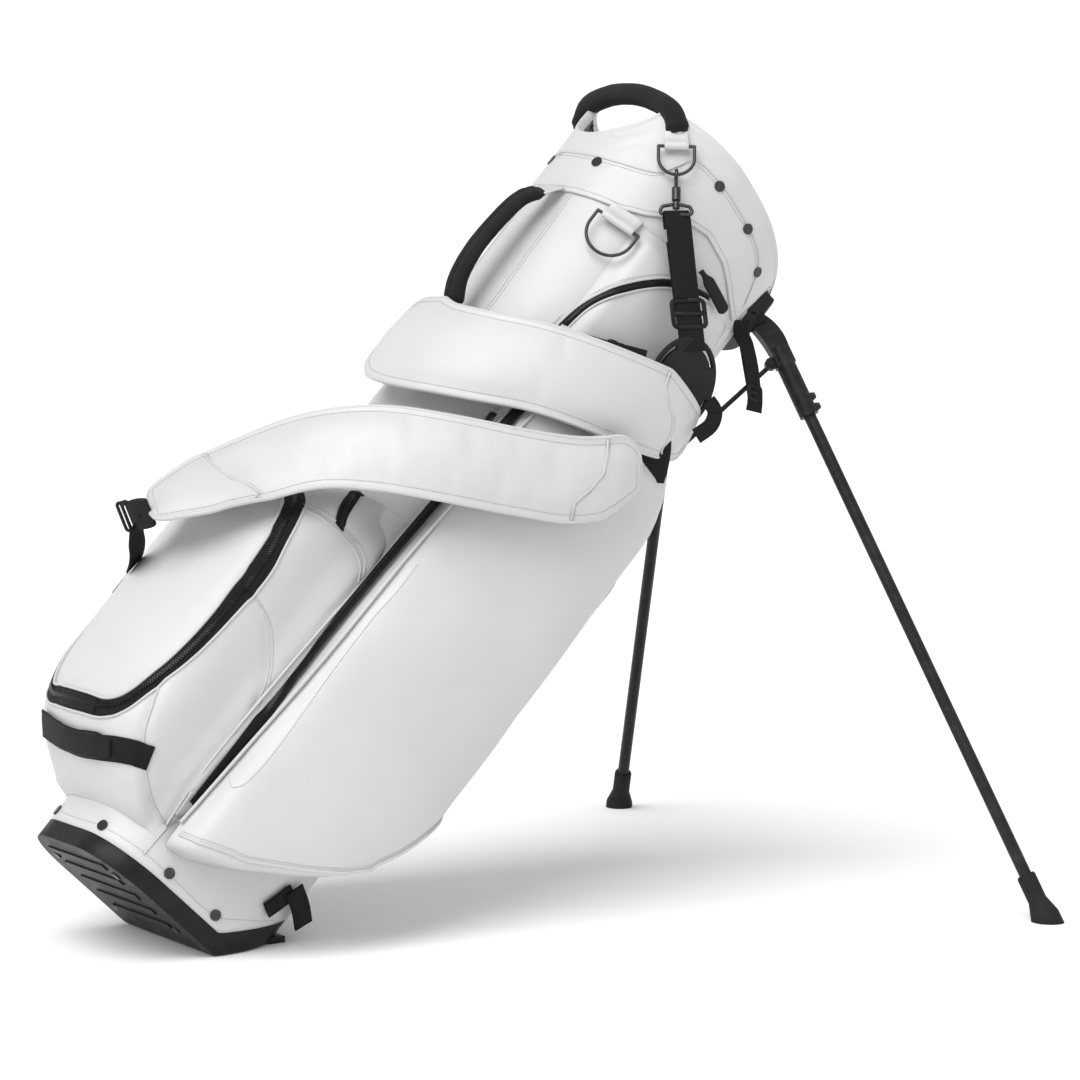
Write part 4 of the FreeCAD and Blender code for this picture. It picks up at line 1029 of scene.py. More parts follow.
def build_ring_tabs():
    """Each ring hangs in a folded tab with one row of stitches across it."""
    made = {}
    for name, (_, _, off, half) in RINGS.items():
        place = ring_place(name)
        wide = half * 2 - 12
        low = -off + (3.6 if name == "collar_ring" else 1.0)
        loop = [(17, low), (8, low), (2.5, -2.9), (-1.6, -2.4), (-2.9, 0), (-1.6, 2.4), (2.0, 2.7),
                (9, low + 3.6), (17, low + 1.9)]
        line = resample([world(place @ Vector((0, y, z))) for y, z in curve_through(loop)], 1.0 * MM)
        made[name] = bent_ribbon("tab_" + name, line, axis_of(place, (1, 0, 0)), wide, 1.5, "cover")
        line = [world(place @ Vector((x * (wide - 3), 8.5, low + 4.0))) for x in (-0.5, 0, 0.5)]
        stitches("tab_stitch_" + name, resample(line, 2.0 * MM), axis_of(place), pitch=2.6, length=1.9)
    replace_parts(made["d_ring_near"], "d_ring_tabs")
    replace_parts(made["collar_ring"], "collar_ring_tab")


def rod_loop(name, place, half_x, half_y, corner, radius):
    """Buckle frame: a rounded rectangle of bar stock with one cross bar."""
    centres = [(half_x - corner, half_y - corner), (corner - half_x, half_y - corner),
               (corner - half_x, corner - half_y), (half_x - corner, corner - half_y)]
    path = [(0, half_y)]
    for turn, (cx, cy) in zip((1, 2, 3, 4), centres[1:] + centres[:1]):
        start = 90 * turn if turn < 4 else 0
        for step in range(7):
            angle = math.radians(start + 15 * step)
            path.append((cx + corner * math.cos(angle), cy + corner * math.sin(angle)))
    path.append((0, half_y))
    out = axis_of(place)
    profile = [(a * 1.15, o * 0.85) for a, o in round_profile(radius, 10)]
    main = sweep(name, [world(place @ Vector((x, y, 0))) for x, y in path], out, profile, "moulding")
    ends = [world(place @ Vector((x, 0, 0))) for x in (-half_x, 0, half_x)]
    sweep(name + "_bar_0", ends, out, profile, "moulding")
    return main


def socket_scale(share):
    """A buckle's socket is full in the middle and thin at both ends."""
    bulge = math.sin(math.pi * share)
    return 0.86 + 0.14 * bulge ** 0.5, 0.55 + 0.45 * bulge ** 0.4


def side_release(name, place, length, width):
    """Clip buckle: a hollow socket, two spring prongs and a ladder end."""
    out = axis_of(place)
    path = [world(place @ Vector((x, 0, 0))) for x in np.linspace(-length / 2, length * 0.16, 14)]
    socket = sweep(name, path, out, band_profile(width - 3, 5.4, crown=0.9), "moulding", scale=socket_scale)
    for side in (-1, 1):
        prong = [world(place @ Vector((length * x, side * width * y, 0)))
                 for x, y in ((0.12, 0.40), (0.2, 0.46), (0.3, 0.42))]
        sweep("%s_prong_%d" % (name, side + 1), prong, out, band_profile(3.0, 3.6), "moulding")
    ladder = place @ Matrix.Translation((length * 0.33, 0, 0)) @ QUARTER_TURN
    rod_loop(name + "_ladder", ladder, width / 2 - 1, length * 0.15, 3, 1.5)
    return socket


# ---------------------------------------------------------------- straps

def hook_place():
    """The hook's frame, under the bottom of the collar ring."""
    return ring_place("collar_ring") @ Matrix.Translation((0, -RING_DROP - RING_HALF - HOOK_BAR, 0))


def build_hub_strap():
    """Webbing from the hook to the hub, looped through the hook's eye and doubled by its slider."""
    hub = on_surface(HUB["phi"], HUB["w"], radius=HUB["radius"])
    high = hook_place() @ Vector((0, -39, 0))
    low = hub @ Vector((-18, 27, 6.5))
    way = (low - high).normalized()
    out = radial(-97)
    loop = [high - out * 2.6 + way * 14, high - out * 2.4 + way * 3, high - way * 2.9,
            high + out * 2.4 + way * 3, high.lerp(low, 0.3) + out * 1.4, high.lerp(low, 0.6) + out * 0.4,
            high.lerp(low, 0.85) + out * 0.9, low - way * 1.0]
    line = resample([world(Vector(p)) for p in curve_through(loop, 10)], 1.5 * MM)
    web = bent_ribbon("hub_web", line, direction(*out.cross(way)), 26, 1.8, "webbing")
    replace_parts(web, "hub_webbing")
    ribbon("hub_web_under", [high.lerp(low, 0.2) - out * 1.3, high.lerp(low, 0.74) - out * 1.2], out, 25.5)
    middle = axes_frame(high.lerp(low, 0.72) + out * 1.4, way, out) @ QUARTER_TURN
    slider = rod_loop("web_slider", middle, 17, 12.5, 4, 2.1)
    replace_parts(slider, "hub_slider")


def build_loose_webbing():
    """Straps and buckles between the ends of the pads and the bag."""
    web = ribbon("web_right", [(74, -150, 691), (85, -153, 687), (88, -157, 673), (81, -160, 654)],
                 (-0.3, -0.95, 0), 14)
    lower = [(44, -147, 640), (53, -150, 629), (62, -150, 619), (72, -146, 608), (82, -139, 597)]
    ribbon("web_lower", lower, (-0.3, -0.95, 0), 27)
    ribbon("web_low", [(-240, 0, 262), (-226, 12, 255), (-212, 26, 252), (-199, 44, 250), (-186, 66, 248)],
           (-1, 0.45, 0.1), 20)
    ribbon("web_low_end", [(-247, -2, 266), (-245, -4, 274), (-242, -7, 284)], (-1, -0.1, 0.2), 18)
    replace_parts(web, "strap_webbing")
    low = axes_frame(Vector((-247, -4, 266)), Vector((-0.25, 0.8, -0.5)), Vector((-0.3, -0.6, -0.75)))
    buckle = side_release("buckle_low", low, 32, 30)
    high = on_surface(-108, 653, radius=147) @ Matrix.Rotation(math.radians(26), 4, "Z")
    side_release("buckle_high", high, 46, 15)
    ribbon("web_high", [high @ Vector((x, 0, z)) for x, z in ((18, 0), (30, 1), (44, 1))], radial(-104), 14)
    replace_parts(buckle, "strap_buckles")


def build_leg_strap():
    points = [(88, -85, 799), (96, -83, 790), (106, -90, 782), (118, -99, 768), (130, -106, 752),
              (137, -110, 743), (143, -111.5, 733)]
    strap = ribbon("leg_strap_web", points, (0.1, -1, 0), 19, 1.5,
                   scale=lambda s: (1 - 0.14 * math.sin(math.pi * s), 1.0))
    ribbon("leg_strap_fold", [(102, -84, 786), (120, -97, 763), (134, -105.5, 747)], (0.35, -1, 0), 14, 1.4)
    slide = axes_frame(Vector((134, -108.5, 748)), Vector((14, -7, -21)), Vector((0.35, -1, 0)))
    rod_loop("leg_strap_slider", slide @ QUARTER_TURN, 9.5, 6.5, 2, 1.6)
    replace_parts(strap, "leg_strap")


def build_pocket_strap(surface):
    """Hook-and-loop strap in two layers, with a stitch row along each edge of the upper one."""
    band = sweep("pocket_strap_under", *surface.line(STRAP_UNDER, 1.2), band_profile(23, 1.6), "loop")
    over = surface.line(STRAP_OVER, 3.2)
    sweep("pocket_strap_over", *over, band_profile(25, 1.8, crown=0.4), "loop",
          scale=lambda s: (0.55 + 0.45 * smooth_step(s, -0.05, 0.16), 1.0))
    for number, shift in enumerate((-10.6, 10.6)):
        line, outs = offset_line(over[0][8:], over[1][8:], shift)
        stitches("pocket_strap_stitch_%d" % number, raised(line, outs, 1.0), outs, "black_thread")
    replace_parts(band, "pocket_strap")


def build_heel_tab():
    """Webbing folded into a peak beside the heel."""
    ribbon("heel_tab_leg", [(57, -92, 62), (62, -92, 76), (67, -91.5, 92)], (0.2, -1, 0), 15, 2.2)
    fold = ribbon("heel_tab_fold", [(66, -94, 93), (84, -90, 86), (102, -83, 77)], (0.2, -1, 0), 19, 2.4)
    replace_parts(fold, "heel_tab")


def build_top_handle():
    """Soft grip over the top handle, with a leather root at each end."""
    path = [(-72, -86, 866), (-84, -85, 875), (-100, -71, 894), (-109, -36, 903.5), (-113, 0, 906),
            (-111, 40, 904), (-103, 75, 896), (-85, 86, 876), (-72, 86, 866)]
    line = resample([bag(*p) for p in curve_through(path, 14)], 1.5 * MM)
    out = direction(0.35, 0, 1)
    count = len(line)
    first, last = int(count * 0.09), int(count * 0.91)
    rows = []
    for i, (p, _, across, up) in enumerate(path_frames(line[first:last], out)):
        share = i / (last - first - 1)
        end = smooth_step(min(share, 1 - share), 0.0, 0.03)
        lip = 0.9 * math.exp(-((min(share, 1 - share) - 0.035) / 0.016) ** 2)
        row = []
        for k in range(28):
            turn = 2 * math.pi * k / 28
            fold = 0.3 * noise.noise(Vector((share * 14, math.cos(turn), math.sin(turn))))
            radius = (8.6 + 1.9 * end + lip + fold) * MM
            row.append(p + across * (radius * math.cos(turn)) + up * (radius * math.sin(turn)))
        rows.append(row)
    grip = grid("top_grip", rows, "knit", closed=True, caps=True)
    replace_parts(grip, "handle_grip")
    for number, part in enumerate((line[:first + 4], line[last - 4:])):
        sweep("top_grip_root_%d" % number, part, out, round_profile(6.4, 18), "cover",
              scale=lambda s: (1.0, 0.8))


def build_side_handle():
    """Flat soft grip with a stitched seam and end patches, and its leather tails."""
    path = [(-134, -20, 762), (-146, -18, 740), (-151, -18, 700), (-151, -18, 670), (-146, -20, 640),
            (-134, -24, 616)]
    line = resample([bag(*p) for p in curve_through(path, 12)], 1.5 * MM)
    out = direction(-1, -0.15, 0)
    rows = []
    frames = path_frames(line, out)
    for i, (p, _, across, up) in enumerate(frames):
        share = i / (len(line) - 1)
        end = smooth_step(min(share, 1 - share), 0.0, 0.05)
        row = []
        for k in range(32):
            turn = 2 * math.pi * k / 32
            side, top = math.cos(turn), math.sin(turn)
            seam = -1.3 * math.exp(-(side / 0.14) ** 2) if top > 0 else 0.0
            fold = 0.35 * noise.noise(Vector((share * 22, side, top)))
            wide = (9.0 + 3.0 * end) * math.copysign(abs(side) ** 0.85, side)
            high = (3.4 + 2.4 * end + seam * end + fold) * math.copysign(abs(top) ** 0.8, top)
            row.append(p + across * (wide * MM) + up * (high * MM))
        rows.append(row)
    grip = grid("side_grip", rows, "knit", closed=True, caps=True)
    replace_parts(grip, "side_handle_grip")
    surface = Surface(grip)
    middle = [surface.drop(p + out * 0.03, -out, 0.1) for p in line[6:-6]]
    stitches("side_grip_seam", *unzipped(middle), "black_thread")
    reach = 9
    for number, (at, bow) in enumerate(((0.12, -0.02), (0.86, 0.02))):
        arc = []
        for k in range(13):
            x = -reach + 2 * reach * k / 12
            share = at + bow * (1 - (x / reach) ** 2) * 2
            p, _, across, up = frames[int(share * (len(line) - 1))]
            arc.append(surface.drop(p + across * (x * MM) + up * 0.03, -up, 0.1))
        stitches("side_grip_patch_%d" % number, *unzipped(arc), "black_thread", pitch=2.4, length=1.8)
    high = [(-136, -20, 759), (-130, -19, 768), (-123, -18, 778)]
    low = [(-136, -24, 620), (-131, -24, 606), (-124, -25, 592), (-119.5, -26, 572)]
    tail = ribbon("side_tail_top", high, (-1, -0.15, 0.2), 23, material="cover")
    ribbon("side_tail_low", low, (-1, -0.15, -0.2), 23, material="cover")
    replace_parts(tail, "side_handle_tails")


def puller_scale(share):
    """Narrow at the slider's end, full along the tab and rounded at its tip."""
    return 0.42 + 0.58 * smooth_step(share, 0.1, 0.3) - 0.55 * smooth_step(share, 0.93, 1.03), 0.8


def build_puller():
    place = on_surface(-88, 786, 8.0, spin=-14)
    points = [(-3, 3.0), (3, 4.6), (8, 5.6), (16, 6.2), (26, 6.4), (36, 6.2), (44, 6.0)]
    line = resample([world(place @ Vector((x, 0, z))) for x, z in curve_through(points, 6)], 1.0 * MM)
    pull = sweep("upper_puller", line, axis_of(place), band_profile(10.5, 3.6, crown=0.7), "rubber",
                 body="zip_pull", scale=puller_scale)
    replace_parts(pull, "upper_zip_pull")


HIP_BACK, HIP_MIDDLE, HIP_HALF = 112, 498, 51
HIP_OUTLINE = [(112, 440), (150, 444), (168, 456), (177, 500), (177, 536), (166, 549), (140, 555),
               (112, 556)]


def hip_ring(section, v, deep, tall):
    """The hip pad's outline at v, drawn in towards its back and its middle height."""
    return [bag(HIP_BACK + (u - HIP_BACK) * deep, v, HIP_MIDDLE + (w - HIP_MIDDLE) * tall)
            for u, w, _ in section]


def build_hip_pad():
    """Cushion between the bag and the hip, domed at both ends, with a piped edge round each."""
    section = curve_through([(u, w, 0) for u, w in HIP_OUTLINE], 6)
    rows = []
    for k in range(25):
        v = -HIP_HALF + 2 * HIP_HALF * k / 24
        squeeze = 1 - 0.16 * abs(v / HIP_HALF) ** 5
        rows.append(hip_ring(section, v, squeeze, 0.5 + 0.5 * squeeze))
    ends = []
    for ring, side in ((rows[0], -1), (rows[-1], 1)):
        centre = sum((Vector(p) for p in ring), Vector()) / len(ring)
        for share, out in ((0.8, 1.5), (0.05, 2.0)):
            ends.append([centre.lerp(p, share) + direction(0, side, 0) * (out * MM) for p in ring])
    rows = [ends[1], ends[0]] + rows + [ends[2], ends[3]]
    pad = grid("hip_cushion", [row[::-1] for row in rows], "cover")
    soften(pad, puff=1.2, scale=30.0, seed=12.0)
    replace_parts(pad, "hip_pad")
    for number, side in enumerate((-1, 1)):
        edge = hip_ring(section, side * (HIP_HALF - 0.5), 0.86, 0.93)
        sweep("hip_piping_%d" % number, edge, direction(0, side, 0), round_profile(1.3, 8), "piping")


DIVIDER_LOW, DIVIDER_TALL = 98, 686


def build_dividers():
    """Two lining panels that cross at the axis, and sway a little between their edges."""
    for number, half in enumerate((94, 80)):
        rows = []
        for i in range(61):
            w = DIVIDER_LOW + DIVIDER_TALL * i / 60
            row = []
            for j in range(31):
                x = -half + 2 * half * j / 30
                sway = 1.6 * noise.noise(Vector((x / 30, w / 90, number * 5))) * (1 - abs(x / half) ** 4)
                row.append(bag(x, sway, w) if number == 0 else bag(sway, x, w))
            rows.append(row)
        panel = grid("divider_%d" % number, rows, "lining")
        thicken(panel, 1.2)
        panel.modifiers["thickness"].offset = 0
        if number == 0:
            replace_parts(panel, "divider_panels")


# ---------------------------------------------------------------- shoulder pads

PAD_THICK = 15.0
PAD_STEP = 5.0                 # spacing of the frames along a pad
SWELL_SHARE, SWELL_MOST = 0.35, 2.0
CLOTH_FRAMES = 20
# stations of each pad: (direction round the bag, distance from its axis, height, width)
PAD_LOWER = [(-178.6, 243, 279, 84), (-173, 228, 320, 94), (-166, 209, 366, 94), (-155, 203, 405, 86),
             (-142, 196, 436, 85), (-125, 189, 466, 82), (-107, 184, 498, 79), (-91, 184, 532, 78),
             (-76, 184, 583, 72)]
PAD_UPPER = [(-195, 144, 588, 68), (-187, 146, 579, 92), (-175, 148, 567, 104), (-160, 151, 564, 98),
             (-140, 154, 576, 91), (-119, 160, 598, 85), (-98, 164, 620, 83), (-78, 163, 643, 82),
             (-58, 161, 668, 74)]
# towards the upper (1) and lower (-1) edge: length drawn in at the high end, share left there, its corner
# radius and the corner radius of the low end
LOWER_TIP = {1: (24.0, 0.9, 26.0, 13.0), -1: (46.0, 0.55, 10.0, 13.0)}
UPPER_TIP = {1: (64.0, 0.38, 8.0, 10.0), -1: (24.0, 0.95, 16.0, 34.0)}
LOW_LENGTH = 52.0
# seams of the end patches: (share of the pad's length, share of its half width)
LOWER_PATCHES = [[(0.132, 0.96), (0.135, 0.6), (0.145, 0.1), (0.16, -0.3), (0.192, -0.62), (0.205, -0.82),
                  (0.195, -0.96)],
                 [(0.917, 0.96), (0.907, 0.5), (0.897, 0.15), (0.87, -0.2), (0.838, -0.55), (0.838, -0.96)]]
UPPER_PATCHES = [[(0.83, 0.96), (0.823, 0.6), (0.84, 0.3), (0.88, -0.05), (0.892, -0.35), (0.895, -0.8),
                  (0.905, -0.96)]]
PADS = (("pad_lower", PAD_LOWER, "shoulder_pad_lower", LOWER_TIP, LOWER_PATCHES),
        ("pad_upper", PAD_UPPER, "shoulder_pad_upper", UPPER_TIP, UPPER_PATCHES))
PadFrame = namedtuple("PadFrame", "centre ahead across out half way")


def pad_frames(stations):
    """Frames along a shoulder pad, with its half width and the way along it in millimetres."""
    fine = curve_through(stations, 12)
    centres = []
    for phi, reach, w, _ in fine:
        out = radial(phi) * reach
        centres.append(bag(out.x, out.y, w))
    line = resample(centres, PAD_STEP * MM)
    tree = kd_of(centres)
    frames, way = [], 0.0
    for i, p in enumerate(line):
        phi, _, _, width = fine[tree.find(p)[1]]
        ahead = (line[min(i + 2, len(line) - 1)] - line[max(i - 2, 0)]).normalized()
        out = direction(*radial(phi))
        across = out.cross(ahead).normalized()
        if i:
            way += (p - line[i - 1]).length / MM
        frames.append(PadFrame(p, ahead, across, ahead.cross(across).normalized(), width / 2, way))
    return frames


def pad_outline(way, total, half, side, tip):
    """Half width towards one edge: rounded at the low end, drawn in to a blunt point at the high end."""
    length, left, corner, low_corner = tip[side]
    way, end = max(way, 0.0), max(total - way, 0.0)
    if end < length:
        half *= left + (1 - left) * (end / length) ** 0.85
    if way < end:
        corner, end = low_corner, way
        half *= 0.62 + 0.38 * min(way / LOW_LENGTH, 1.0) ** 0.6
    if end < corner:
        half += math.sqrt(corner ** 2 - (corner - end) ** 2) - corner
    return max(half, 5.0) - 1.0


def build_pad(name, stations, node, tip):
    """Flat cushion with thin bound edges; a pressure simulation then swells it between its pinned seams."""
    frames = pad_frames(stations)
    total = frames[-1].way
    outer = [0.21, 0.42, 0.62, 0.78, 0.88, 0.93, 0.97, 1.0]
    shares = [-share for share in outer[::-1]] + [0] + outer
    rows, pins = [], []
    for p, _, across, out, width, way in frames:
        halves = {side: pad_outline(way, total, width, side, tip) for side in (1, -1)}
        end = smooth_step(min(way, total - way), 4, 30)
        row = []
        for face, stops in ((1, shares), (-1, shares[::-1][1:-1])):
            for share in stops:
                half = halves[1 if share > 0 else -1]
                inner = max(1 - 7.0 / half, 0.2)
                swell = (1 - min(abs(share) / inner, 1.0) ** 3.2) * (0.25 + 0.75 * end)
                thick = 1.7 + (PAD_THICK / 2 - 3.0) * swell
                row.append(p + across * (half * share * MM) + out * (face * thick * MM))
                pins.append(1.0 if abs(share) > inner or min(way, total - way) < 8 else 0.0)
        rows.append(row)
    pad = grid(name, rows, "cover", closed=True, caps=True, body=None)
    swell_cloth(pad, pins)
    smooth = pad.modifiers.new("round", "SUBSURF")
    smooth.levels = smooth.render_levels = 1
    bake(pad)
    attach(pad, "bag")
    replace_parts(pad, node)
    return pad, frames


def swell_cloth(obj, pins):
    """Runs a short pressure simulation in which the seams stay where they are."""
    group = obj.vertex_groups.new(name="seams")
    for index, weight in enumerate(pins):
        group.add([index], weight, "REPLACE")
    rest = [v.co.copy() for v in obj.data.vertices]
    cloth = obj.modifiers.new("cloth", "CLOTH")
    settings = cloth.settings
    settings.vertex_group_mass = "seams"
    settings.use_pressure = True
    settings.uniform_pressure_force = 4.0
    settings.effector_weights.gravity = 0.0
    settings.tension_stiffness = settings.compression_stiffness = 80
    settings.bending_stiffness = 40.0
    settings.shrink_min = -0.02
    settings.quality = 6
    cloth.collision_settings.use_collision = False
    cloth.point_cache.frame_start, cloth.point_cache.frame_end = 1, CLOTH_FRAMES
    scene = bpy.context.scene
    for moment in range(1, CLOTH_FRAMES + 1):
        scene.frame_set(moment)
    shown = obj.evaluated_get(bpy.context.evaluated_depsgraph_get())
    moved = [v.co.copy() for v in shown.data.vertices]
    obj.modifiers.remove(cloth)
    for vertex, start, end in zip(obj.data.vertices, rest, moved):
        shift = (end - start) * SWELL_SHARE
        if shift.length > SWELL_MOST * MM:
            shift = shift.normalized() * (SWELL_MOST * MM)
        vertex.co = start + shift
    scene.frame_set(1)
    obj.data.update()


def bake(obj):
    """Turns the modifiers into plain mesh."""
    graph = bpy.context.evaluated_depsgraph_get()
    graph.update()
    mesh = bpy.data.meshes.new_from_object(obj.evaluated_get(graph))
    obj.modifiers.clear()
    obj.data = mesh
    mesh.polygons.foreach_set("use_smooth", [True] * len(mesh.polygons))


def pad_spot(surface, frames, tip, at, share, lift):
    """Point on the upper face of a pad: at counts along its frames, share across its half width."""
    i = min(max(int(at), 0), len(frames) - 2)
    here, t = frames[i], min(at - i, 1.0)
    p = here.centre.lerp(frames[i + 1].centre, t)
    half = pad_outline(here.way + t * PAD_STEP, frames[-1].way, here.half, 1 if share > 0 else -1, tip)
    return surface.drop(p + here.across * (half * share * MM) + here.out * 0.05, -here.out, lift)


def pad_line(surface, frames, tip, stations, lift=0.1):
    return relax([pad_spot(surface, frames, tip, at, share, lift) for at, share in stations])


def dress_pad(name, pad, frames, tip, patches):
    """Edge binding, the stitch row inside it and the stitched end patches of a pad."""
    surface = Surface(pad)
    last = len(frames) - 1
    edge, inner = [], []
    steps = [(k / 2, 1) for k in range(0, 2 * last + 1)] + [(k / 2, -1) for k in range(2 * last, -1, -1)]
    for at, side in steps:
        i = min(int(at), last - 1)
        here, t = frames[i], at - i
        p = here.centre.lerp(frames[i + 1].centre, t)
        half = pad_outline(here.way + t * PAD_STEP, frames[-1].way, here.half, side, tip)
        edge.append((p + here.across * (half * side * MM), here.out))
        inset = max(half - 6.0, 1.0) / half
        inner.append((min(max(at, 1.4), last - 1.4), side * inset))
    loop = relax(edge + edge[:1])
    sweep(name + "_binding", *loop, [(a, o * 1.15) for a, o in round_profile(2.0, 12)], "piping")
    stitches(name + "_stitch", *pad_line(surface, frames, tip, inner + inner[:1], 0.15))
    for number, stations in enumerate(patches):
        laid = pad_line(surface, frames, tip, [(last * a, b) for a, b in stations], 0.1)
        piping("%s_patch_%d" % (name, number), laid, 0.9)
        stitches("%s_patch_stitch_%d" % (name, number), *offset_line(*laid, 3.0))


def build_pads():
    made = [build_pad(name, stations, node, tip) for name, stations, node, tip, _ in PADS]
    for (name, _, _, tip, patches), (pad, frames) in zip(PADS, made):
        dress_pad(name, pad, frames, tip, patches)


# ---------------------------------------------------------------- CAD nodes that stay, and their finish

FINISHES = {
    "moulding": ("base_cup", "sole_plate", "top_collar", "club_divider", "leg_bracket", "heel_lever"),
    "coated": ("leg_tube_near", "leg_tube_far", "leg_arm_near", "leg_arm_far", "push_rod_near",
               "push_rod_far", "heel_rods", "stay_rods", "handle_core"),
    "rubber": ("strap_hub", "leg_foot_near", "leg_foot_far"),
    "black_metal": ("sole_screws", "heel_pin", "base_rivets", "collar_rivets", "leg_pins",
                    "leg_screws_near", "leg_screws_far", "d_ring_near", "d_ring_spine", "collar_ring",
                    "snap_hook", "hook_gate", "swivel_loop"),
}
BEVELLED = ("base_cup", "sole_plate", "top_collar", "strap_hub", "leg_bracket")
BEVEL_WIDTH, BEVEL_FROM = 0.9, 38


def finish_frame_nodes():
    """Gives the nodes that stay their materials, and breaks the sharp edges of the large mouldings."""
    for material, names in FINISHES.items():
        for name in names:
            node = frame["nodes"][name]
            node.data.materials.clear()
            node.data.materials.append(MATERIALS[material])
    for name in BEVELLED:
        weld = frame["nodes"][name].modifiers.new("weld", "WELD")
        weld.merge_threshold = 0.01 * MM
        edge = frame["nodes"][name].modifiers.new("edge", "BEVEL")
        edge.width, edge.segments = BEVEL_WIDTH * MM, 2
        edge.limit_method, edge.angle_limit = "ANGLE", math.radians(BEVEL_FROM)
        edge.harden_normals = True


# ---------------------------------------------------------------- put together

# grooves that the seams press in: (stations, depth, width)
NEAR_GROOVES = ((FLAP_STITCH, 0.8, 2.5), (ZIP_LIP_NEAR, 1.5, 4.0))
BALL_GROOVES = ((GUSSET_PIPING, 1.8, 5.0), (CURVED_SEAM, 1.6, 4.5), (DOUBLE_PIPING, 1.4, 4.0),
                (ZIP_LIP_FAR, 1.5, 4.0))


def soften_pockets(near, far, ball, shell):
    """Grooves and slack for the pockets, from seams laid on their unsoftened skins."""
    surface = Surface(near, ball, shell)
    grooves = [[(surface.line(stations), depth, width) for stations, depth, width in group]
               for group in (NEAR_GROOVES, BALL_GROOVES)]
    soften(near, grooves[0], puff=1.6, scale=9.0, seed=2.0)
    soften(ball, grooves[1], puff=2.0, scale=10.0, seed=9.0)
    soften(far, puff=1.6, scale=9.0, seed=6.0)


def dress_near_side(surface):
    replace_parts(zip_run("side_zip", settled(surface.line(BIG_ZIP, 4.5)), 11.5), "side_zip_tape")
    piping("zip_lip_near", settled(surface.line(ZIP_LIP_NEAR, 2.4)), 1.7)
    piping("zip_lip_far", settled(surface.line(ZIP_LIP_FAR, 1.6)), 1.5)
    piping("gusset_piping", surface.line(GUSSET_PIPING))
    stitches("curved_seam_stitch", *surface.line([(phi + 1.5, w) for phi, w in CURVED_SEAM], 0.2))
    piping("curved_seam_fold", surface.line(CURVED_SEAM, -0.3), 0.8)
    piping("double_piping", surface.line(DOUBLE_PIPING), 1.0)
    piping("double_piping_2", surface.line([(phi, w - 7) for phi, w in DOUBLE_PIPING], -0.2), 0.8)
    stitches("flap_stitch", *surface.line(FLAP_STITCH, 0.2))
    zip_run("small_zip", surface.line(SMALL_ZIP, 0.2), 11)
    tab = surface.line([(-127, 96), (-127.5, 82), (-128, 68)], 0.9)
    sweep("zip_end_tab", *tab, band_profile(13, 1.4), "cover")


def dress_ball_pocket(surface):
    lid, outer = mirrored(LID_EDGE), mirrored(LID_OUTER)
    tape = strip_between("ball_zip_tape_skin", surface, lid, outer, "tape", 1.2)
    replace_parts(tape, "ball_zip_tape")
    middle = [((a[0] + b[0]) / 2, (a[1] + b[1]) / 2) for a, b in zip(lid, outer)]
    line, outs = surface.line(middle, 1.6)
    zip_teeth("ball_zip_teeth", line, outs)
    piping("lid_piping", surface.line(lid, 0.4), 1.6)
    piping("lid_outer_piping", surface.line(outer, 0.2), 1.2)
    garage = surface.line([(-166, 104), (-174, 102.5), (-184, 102)], 1.5)
    sweep("zip_garage", *garage, band_profile(12, 1.4, crown=0.4), "loop")


def dress_shell(surface):
    piping("tube_seam", surface.line(TUBE_SEAM), 0.8)
    stitches("tube_seam_stitch", *surface.line([(phi + 2, w) for phi, w in TUBE_SEAM], 0.15))
    piping("tube_seam_far", surface.line(far_side(TUBE_SEAM)), 0.8)
    stitches("base_stitch", *surface.line(BASE_STITCH, 0.15))
    stitches("base_stitch_far", *surface.line(far_side(BASE_STITCH[3:]), 0.15))
    piping("panel_seam", surface.line([(-131, 26), (-130, 60)]), 0.9)


def dress_cuff(surface):
    for name, stations in (("near", CUFF_SEAM), ("far", far_side(CUFF_SEAM[1:]))):
        piping("cuff_seam_" + name, surface.line(stations), 0.9)
        stitches("cuff_seam_stitch_" + name, *surface.line([(phi, w - 4) for phi, w in stations], 0.15))
    for name, side in (("near", -1), ("far", 1)):
        turns = np.linspace(180, 52, 40)
        hem = [(side * phi, cuff_low(phi) + 5) for phi in turns]
        stitches("cuff_hem_stitch_" + name, *surface.line(hem, 0.15))
    window = [(phi, cuff_low(phi) + 4) for phi in np.linspace(-50, 50, 30)]
    stitches("cuff_window_stitch", *surface.line(window, 0.15))


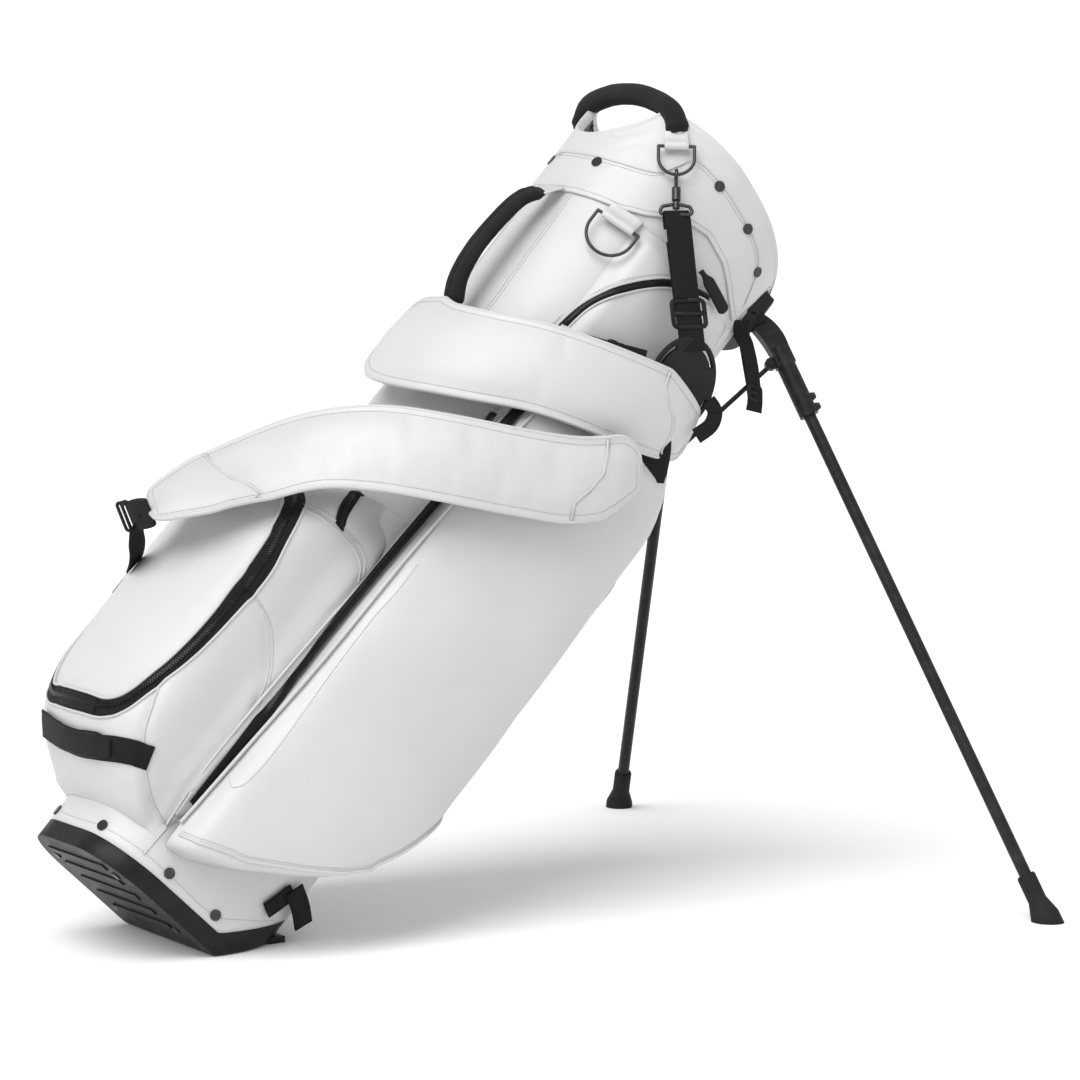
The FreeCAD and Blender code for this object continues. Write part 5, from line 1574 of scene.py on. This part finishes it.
def dress_upper_pocket(surface):
    line, outs = surface.line(UPPER_ZIP, 0.2)
    tape = sweep("upper_zip_tape_skin", line, outs, band_profile(6.5, 1.0, crown=0.5, lift=0.5), "tape")
    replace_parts(tape, "upper_zip_tape")
    zip_teeth("upper_zip_teeth", raised(line, outs, 1.0), outs, pitch=2.0, half=1.8)
    piping("upper_lip_low", offset_line(line, outs, 4.6), 1.2)
    piping("upper_lip_high", offset_line(line, outs, -4.6), 1.2)
    stitches("upper_stitch_low", *offset_line(line, outs, 8.2))
    edge = [(-50, 640), (-51, 690), (-52, 740), (-54, 776)]
    piping("upper_edge", surface.line(edge), 0.9)


def build_pocket_floor_welt(surface, side, name):
    """Piping round the lower edge of a side pocket."""
    spots = []
    for p in side_arc(SIDE_WIDEST)[4:-6]:
        w = side_floor(p.x) + 3
        nearest = min(side_arc(w), key=lambda q: (q - p).length_squared)
        phi = math.degrees(math.atan2(-side * nearest.y, nearest.x))
        spots.append(surface.at(phi, w, 0.1))
    laid = relax(spots)
    piping("floor_welt_" + name, laid, 1.5)
    stitches("floor_stitch_" + name, *offset_line(*laid, 4.0 * -side))


def build_sliders(ball_surface):
    """The side zip's slider near its high end, and the ball pocket's on the far run of its zip."""
    place = axes_frame(Vector((-76.6, -113.8, 535)), Vector((0, 0, 1)), Vector((-0.9, -0.42, 0)))
    zip_slider("side_slider_body", place, "side_zip_slider", "side_slider")
    spot, facing = ball_surface.at(148.5, 250, 0.5)
    place = axes_frame(local(spot), Vector((0, 0, 1)), BAG_TURN.transposed() @ facing)
    zip_slider("ball_slider_body", place, "ball_zip_slider", "ball_slider")


make_camera()
finish_frame_nodes()
shell_skin = build_shell()
cuff_skin = build_cuff()
pocket_near = build_side_pocket(-1, "near")
pocket_far = build_side_pocket(1, "far")
pocket_ball = build_ball_pocket()
pocket_upper = build_upper_pocket()
bpy.context.view_layer.update()
soften_pockets(pocket_near, pocket_far, pocket_ball, shell_skin)
bpy.context.view_layer.update()
dress_near_side(Surface(pocket_near, pocket_ball, shell_skin))
dress_ball_pocket(Surface(pocket_ball, shell_skin))
dress_shell(Surface(shell_skin))
dress_cuff(Surface(cuff_skin))
dress_upper_pocket(Surface(pocket_upper, shell_skin))
build_pocket_floor_welt(Surface(pocket_near), -1, "near")
build_pocket_floor_welt(Surface(pocket_far), 1, "far")
build_pocket_strap(Surface(pocket_ball, shell_skin))
build_ring_tabs()
build_hub_strap()
build_loose_webbing()
build_leg_strap()
build_heel_tab()
build_top_handle()
build_side_handle()
build_puller()
build_hip_pad()
build_dividers()
build_sliders(Surface(pocket_ball))
build_pads()
make_studio()
